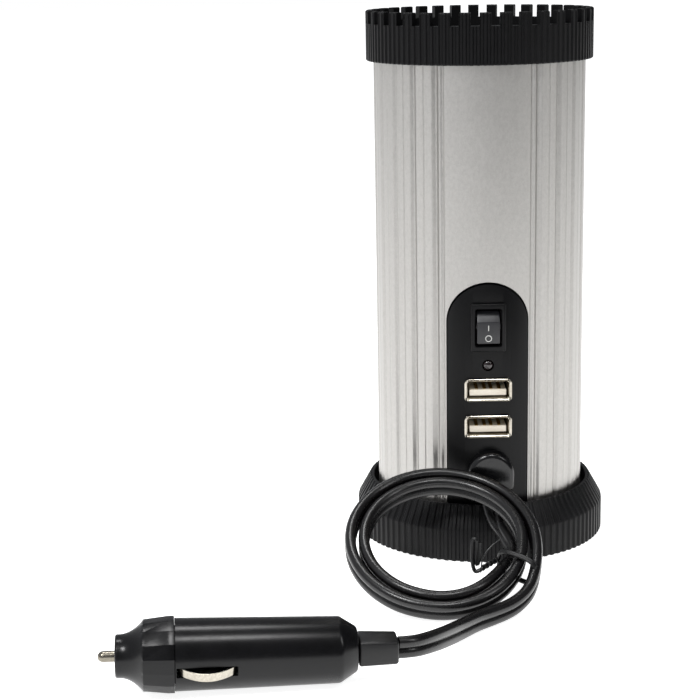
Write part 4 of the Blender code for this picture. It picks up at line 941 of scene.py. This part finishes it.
@dataclass
class TwinLead:
    """The figure-8 lead: down from its outlet, two turns of coil, and out to the plug."""

    core: float = 1.65
    spread: float = 1.6
    centre: Vector = Vector((-16.1, -63.4, 15.6))
    tilt: float = 27.0
    length: float = 0.42
    step: float = 1.1

    def in_coil(self, angle: float, radius: float, lift: float) -> Vector:
        """Return the place at an angle and radius in the coil's plane, and a lift off it."""
        t, a = math.radians(self.tilt), math.radians(angle)
        back = Vector((0, math.cos(t), math.sin(t)))
        return (self.centre + radius * (math.cos(a) * Vector((1, 0, 0)) + math.sin(a) * back)
                + lift * self.axis())

    def axis(self) -> Vector:
        """Return the coil's axis."""
        t = math.radians(self.tilt)
        return Vector((0, -math.sin(t), math.cos(t)))

    def route(self) -> list[tuple[Vector, Vector]]:
        """Return the route's knots, each with the direction from core to core."""
        across, axis = Vector((1, 0, 0)), self.axis()
        upright = Vector((0, -0.25, 0.97))
        start = [((0.7, -36.0, 22.2), across), ((0.75, -36.8, 20.4), across),
                 ((1.0, -39.6, 18.0), across + 0.4 * axis), ((1.6, -43.2, 15.9), across + axis),
                 ((2.7, -47.6, 13.9), axis), ((4.1, -52.6, 12.2), axis),
                 ((5.3, -57.6, 10.6), axis)]
        knots = [(Vector(point), hint) for point, hint in start]
        turns = ((-8, 20.7, -6.6), (-18, 20.0, -4.4), (-30, 19.9, -2.0), (-45, 20.4, -0.6),
                 (-62, 21.6, 0), (-80, 22.6, 0), (-100, 23.0, 0), (-125, 23.1, 0), (-150, 23.1, 0),
                 (-175, 23.1, 0), (-200, 23.1, 0), (-225, 23.1, 0), (-250, 23.1, 0),
                 (-275, 23.2, 0), (-300, 23.3, 0), (-325, 23.4, 0), (-350, 23.5, 0),
                 (-375, 23.6, 0), (-395, 24.3, 0), (-415, 25.3, 0), (-435, 26.2, 0),
                 (-455, 26.8, 0), (-480, 27.05, 0), (-505, 27.1, 0), (-530, 27.1, 0),
                 (-555, 27.1, 0), (-580, 27.1, 0), (-605, 27.1, 0), (-630, 27.1, 0),
                 (-655, 27.1, 0), (-680, 27.1, 0), (-705, 27.15, 0), (-724, 27.5, 0))
        knots += [(self.in_coil(*turn), axis) for turn in turns]
        end = ((10.4, -73.0, 10.4), (7.7, -80.4, 6.3), (3.0, -85.9, 4.1), (-2.6, -90.3, 3.4),
               (-8.0, -95.0, 3.5), (-13.4, -102.6, 4.2), (-17.6, -110.2, 5.6),
               (-22.0, -117.6, 7.2), (-26.8, -122.9, 8.2), (-31.4, -124.2, 8.45))
        for i, point in enumerate(end):
            share = i / (len(end) - 1)
            knots.append((Vector(point), axis.lerp(upright, share)))
        return knots

    def section(self) -> Outline:
        """Return the figure-8 section, its cores side by side along x."""
        right = arc((self.spread, 0), self.core, -150, 150, 12)
        left = arc((-self.spread, 0), self.core, 30, 330, 12)
        return right + [(0, 0.62)] + left + [(0, -0.62)]

    def build(self) -> tuple[bpy.types.Object, list[Vector]]:
        """Model the lead and return it with its centreline."""
        knots = [Vector((*point, *hint)) for point, hint in self.route()]
        line = smooth_line(knots, self.step)
        places = [Vector(p[:3]) for p in line]
        lead = tube("twin_lead", places, self.section(), [Vector(p[3:]) for p in line])
        settle(lead, LEAD_PVC, ["cord_lead", "cord_coil", "cord_tail"], smooth=40.0)
        return lead, places


@dataclass
class TwistTie:
    """The wire tie round the coil's three strands, with its twisted and folded end."""

    angle: float = -25.0
    wire: float = 0.5

    def build(self, lead: TwinLead) -> bpy.types.Object:
        """Model the tie round the lead's strands."""
        strands = []
        for shift in (-0.6, 0.6):
            loop = []
            for i in range(41):
                a = 2 * math.pi * i / 40
                c, s = math.cos(a), math.sin(a)
                radial = 23.6 + math.copysign(abs(c) ** 0.5, c) * 6.2
                lift = -0.9 + math.copysign(abs(s) ** 0.5, s) * 4.9
                slant = shift / 0.42 - 5.0 * c
                loop.append(lead.in_coil(self.angle + slant * 0.55, radial, lift))
            strands.append(tube("strand", smooth_line(loop, 0.7, 3), ring((0, 0), self.wire, 8)))
        start = lead.in_coil(self.angle + 3.0, 17.5, -0.6)
        knot = start + Vector((-5.6, -2.0, -2.6))
        for phase in (0, math.pi):
            twist = []
            for i in range(25):
                t = i / 24
                turn = phase + 2.5 * 2 * math.pi * t
                twist.append(start.lerp(knot, t) + 0.62 * Vector((0.3 * math.cos(turn),
                                                                  math.sin(turn),
                                                                  math.cos(turn))))
            strands.append(tube("twist", smooth_line(twist, 0.5, 1), ring((0, 0), self.wire, 8)))
        fold = [knot, knot + Vector((-1.6, -0.2, -0.6)), knot + Vector((-2.4, 0.2, 3.0)),
                knot + Vector((-2.3, 0.6, 8.6)), knot + Vector((-1.7, 0.7, 9.4)),
                knot + Vector((-1.2, 0.6, 8.5)), knot + Vector((-1.3, 0.2, 3.5)),
                knot + Vector((-1.0, 0.0, 1.2)), knot + Vector((-0.3, 0.3, 3.6)),
                knot + Vector((-0.2, 0.8, 8.0))]
        strands.append(tube("fold", smooth_line(fold, 0.5, 2), ring((0, 0), 1.2 * self.wire, 8)))
        whisker = [knot + Vector((0.2, 0, 0.2)), knot + Vector((0.8, 0.8, 3.4)),
                   knot + Vector((3.0, 1.8, 6.2)), knot + Vector((6.2, 3.0, 8.2))]
        strands.append(tube("whisker", smooth_line(whisker, 0.6, 2), ring((0, 0), 0.2, 8)))
        item = merged("twist_tie", strands)
        return settle(item, TIE_PAPER, ["cord_tie"], smooth=40.0)


# Plug

@dataclass
class Plug:
    """The 12 V plug, modelled along Z from its rear face and then laid on the floor."""

    rear: Vector = Vector((-42.2, -125.2, 8.75))
    heading: float = 185.4
    pitch: float = 1.6
    roll: float = 8.0

    def lay(self, upright: bool = False) -> Matrix:
        """Return the matrix from the plug's own axes to its place."""
        heading, pitch = math.radians(self.heading), math.radians(self.pitch)
        along = Vector((math.cos(heading) * math.cos(pitch), math.sin(heading) * math.cos(pitch),
                        math.sin(pitch)))
        side = Vector((0, 0, 1)).cross(along).normalized()
        basis = Matrix((side, along.cross(side), along)).transposed().to_4x4()
        turn = Matrix() if upright else Matrix.Rotation(math.radians(-self.roll), 4, "Z")
        return Matrix.Translation(self.rear * MM) @ basis @ turn

    def build_barrel(self) -> bpy.types.Object:
        """Model the barrel: softened rear chamfer, bore, neck and the contacts' slots."""
        profile = [(0, 20), (3.6, 20), (3.6, 53), (7.5, 53), (7.5, 47), (9.25, 47), (9.4, 46.85),
                   (8.66, 5.0), (8.5, 4.25), (8.2, 3.8), (5.95, 0.25), (5.6, 0), (0, 0)]
        barrel = lathe("plug_barrel", profile, 128)
        for side in (-1, 1):
            slot = block("slot", (side * 6.9 - 6.9, -1.4, 31.0), (side * 6.9 + 6.9, 1.4, 46.6),
                         0.25, 2)
            combine(barrel, "DIFFERENCE", slot)
        barrel.data.transform(self.lay())
        return settle(barrel, PLUG_ABS, ["plug_body"])

    def build_nose(self) -> bpy.types.Object:
        """Model the screw-on nose: sixteen-sided collar and concave flare."""
        flare = [(0, 62.2), (5.1, 62.2), (5.45, 62.05), (5.6, 61.7), (5.6, 61.2)]
        flare += [(5.6 + 3.6 * t ** 2.1, 61.2 - 6.2 * t) for t in
                  (0.1, 0.2, 0.3, 0.4, 0.5, 0.6, 0.7, 0.8, 0.9, 1.0)]
        nose = lathe("plug_nose_cone", flare + [(9.2, 52), (0, 52)], 96)
        collar = lathe("collar", [(0, 55.0), (9.25, 55.0), (9.95, 48.8), (9.95, 47.05),
                                  (0, 47.05)], 16)
        combine(nose, "UNION", collar)
        bore = lathe("bore", [(0, 63), (1.75, 63), (1.75, 60.2), (3.9, 60.2), (3.9, 53.3),
                              (7.8, 53.3), (7.8, 46), (0, 46)], 48)
        combine(nose, "DIFFERENCE", bore)
        soften(nose, 0.14, 2, 18.0)
        nose.data.transform(self.lay())
        return settle(nose, PLUG_ABS, ["plug_nose"], smooth=20.0)

    def build_pin(self) -> bpy.types.Object:
        """Model the round-ended centre pin and its flange."""
        tip = [(1.45 * math.sin(math.radians(a)), 66.7 - 1.45 * (1 - math.cos(math.radians(a))))
               for a in range(0, 91, 10)]
        flange = [(1.45, 59.9), (3.3, 59.9), (3.3, 58.2), (0, 58.2)]
        pin = lathe("plug_centre_pin", tip + flange, 48)
        pin.data.transform(self.lay())
        return settle(pin, PIN_NICKEL, ["plug_pin"], Body.PIN, 40.0)

    def build_leaf(self, label: str, side: int) -> bpy.types.Object:
        """Model one bowed side contact."""
        shares = [i / 30 for i in range(31)]
        bow = [(7.6 + 4.15 * math.sin(math.pi * t) ** 0.8, 31.3 + 15.0 * t) for t in shares]
        outline = [(x - 0.25, z) for x, z in bow] + [(x + 0.25, z) for x, z in reversed(bow)]
        leaf = plate(f"plug_leaf_{label}", [outline], -1.1, 1.1, FRONTWARD)
        soften(leaf, 0.12, 2, 50.0)
        leaf.data.transform(self.lay() @ Matrix.Rotation(0 if side > 0 else math.pi, 4, "Z"))
        body = Body.LEAF_FRONT if side > 0 else Body.LEAF_REAR
        return settle(leaf, NICKEL, [f"plug_contact_{label}"], body, 40.0)

    def build_boot(self) -> bpy.types.Object:
        """Model the flat-sided boot, a little smaller towards the lead."""
        boot = block("plug_strain_relief", (-4.4, -3.4, -10.7), (4.4, 3.4, -0.3))
        for vertex in boot.data.vertices:
            if vertex.co.z < -5 * MM:
                vertex.co.x *= 0.92
                vertex.co.y *= 0.92
        with editing(boot):
            bpy.ops.mesh.bevel(offset=0.6 * MM, segments=2, profile=0.4, affect="EDGES")
        boot.data.transform(self.lay(upright=True))
        return settle(boot, BOOT_PVC, ["plug_boot"])

    def build(self) -> list[bpy.types.Object]:
        """Model the whole plug and return its pieces."""
        return [self.build_barrel(), self.build_nose(), self.build_pin(),
                self.build_leaf("front", 1), self.build_leaf("rear", -1), self.build_boot()]


# Studio

@dataclass
class Studio:
    """A pale floor that glows, a room that is brighter on the left, soft boxes and the camera."""

    eye: Vector = Vector((-44.46, -540.75, 186.02))
    forward: Vector = Vector((0.0046, 0.9735, -0.2285))
    roll: float = -1.03
    lens: float = 88.1
    sensor: float = 36.0
    aim: Point = (-0.01, -0.05, 0.07)
    floor_size: float = 6.0
    floor_centre: Point = (0, 2.4, -0.0001)
    floor_glow: float = 0.86
    room_left: float = 0.62
    room_right: float = 0.1
    boxes: tuple[tuple[str, Point, Point, float], ...] = (
        ("key", (-0.5, -0.75, 1.1), (0.3, 0.3), 9.0),
        ("fill", (0.75, -0.6, 0.8), (0.15, 0.5), 2.0),
        ("top", (0.12, -0.5, 1.2), (0.3, 0.2), 4.0),
        ("overhead", (-0.1, 0.35, 1.3), (0.5, 0.2), 5.0),
    )

    def build_camera(self) -> None:
        """Place the camera."""
        data = bpy.data.cameras.new("camera")
        data.lens = self.lens
        data.sensor_width = self.sensor
        data.clip_start = 0.01
        camera = bpy.data.objects.new("camera", data)
        bpy.context.scene.collection.objects.link(camera)
        ahead = self.forward.normalized()
        right = ahead.cross(Vector((0, 0, 1))).normalized()
        up = right.cross(ahead)
        a = math.radians(self.roll)
        x_axis = math.cos(a) * right + math.sin(a) * up
        y_axis = -math.sin(a) * right + math.cos(a) * up
        basis = Matrix((x_axis, y_axis, -ahead)).transposed().to_4x4()
        camera.matrix_world = Matrix.Translation(self.eye * MM) @ basis
        bpy.context.scene.camera = camera

    def soft_box(self, name: str, place: Point, size: Point, power: float) -> None:
        """Add a soft box that faces the object."""
        data = bpy.data.lights.new(name, "AREA")
        data.shape = "RECTANGLE"
        data.size, data.size_y = size
        data.energy = power
        light = bpy.data.objects.new(name, data)
        bpy.context.scene.collection.objects.link(light)
        light.location = place
        towards = Vector(self.aim) - Vector(place)
        light.rotation_euler = towards.to_track_quat("-Z", "Y").to_euler()

    def build_floor(self) -> None:
        """Lay the pale floor, which glows so that it stays white up to its edge."""
        bpy.ops.object.select_all(action="DESELECT")
        bpy.ops.mesh.primitive_plane_add(size=self.floor_size, location=self.floor_centre)
        floor = named("studio_floor")
        material, tree = new_material("pale paper sweep")
        shader = node(tree, "BsdfPrincipled", {"Base Color": linear("F6F6F5"), "Roughness": 0.85,
                                               "Specular IOR Level": 0.1,
                                               "Emission Color": linear("FFFFFF"),
                                               "Emission Strength": self.floor_glow})
        node(tree, "OutputMaterial", None, {"Surface": shader.outputs[0]})
        floor.data.materials.append(material)

    def build_world(self) -> None:
        """Light the room more from the left, and show it white behind the object."""
        world = bpy.data.worlds.new("studio")
        bpy.context.scene.world = world
        world.use_nodes = True
        tree = world.node_tree
        tree.nodes.clear()
        seen = node(tree, "Background", {"Color": linear("FFFFFF"), "Strength": 1.0})
        heading = node(tree, "SeparateXYZ", None, {0: node(tree, "TexCoord").outputs["Generated"]})
        strength = node(tree, "MapRange", {1: -0.7, 2: 0.6, 3: self.room_left,
                                           4: self.room_right},
                        {0: heading.outputs["X"]}).outputs[0]
        room = node(tree, "Background", {"Color": linear("F4F6FA")}, {"Strength": strength})
        path = node(tree, "LightPath").outputs["Is Camera Ray"]
        mix = node(tree, "MixShader", None, {0: path, 1: room.outputs[0], 2: seen.outputs[0]})
        node(tree, "OutputWorld", None, {"Surface": mix.outputs[0]})

    def build(self) -> None:
        """Set up the camera, lights, floor and room."""
        self.build_camera()
        self.build_floor()
        self.build_world()
        for name, place, size, power in self.boxes:
            self.soft_box(name, place, size, power)
        bpy.context.scene.view_settings.view_transform = "Standard"


def dress_frame() -> None:
    """Give each CAD node that is kept the finish of its material slot."""
    for part in frame["record"]["subparts"]:
        item = frame["nodes"][part["node"]]
        item.data.materials.clear()
        item.data.materials.append(material_of(FINISH_OF_SLOT[part["material_slot"]]))


def main() -> None:
    """Build the studio and every piece of the inverter."""
    logging.basicConfig(level=logging.INFO, format="%(message)s")
    Studio().build()
    dress_frame()
    lead = TwinLead()
    cable, line = lead.build()
    tie = TwistTie().build(lead)
    plug = Plug().build()
    Can().build()
    cap = Cap()
    cap.build_cap()
    cap.build_outlet()
    Base().build()
    panel = Panel()
    panel.build_panel()
    panel.build_switch()
    panel.build_rocker()
    panel.build_light()
    for level, z in panel.sockets:
        panel.build_socket(level, z)
    panel.build_gland()


if __name__ == "__main__":
    main()
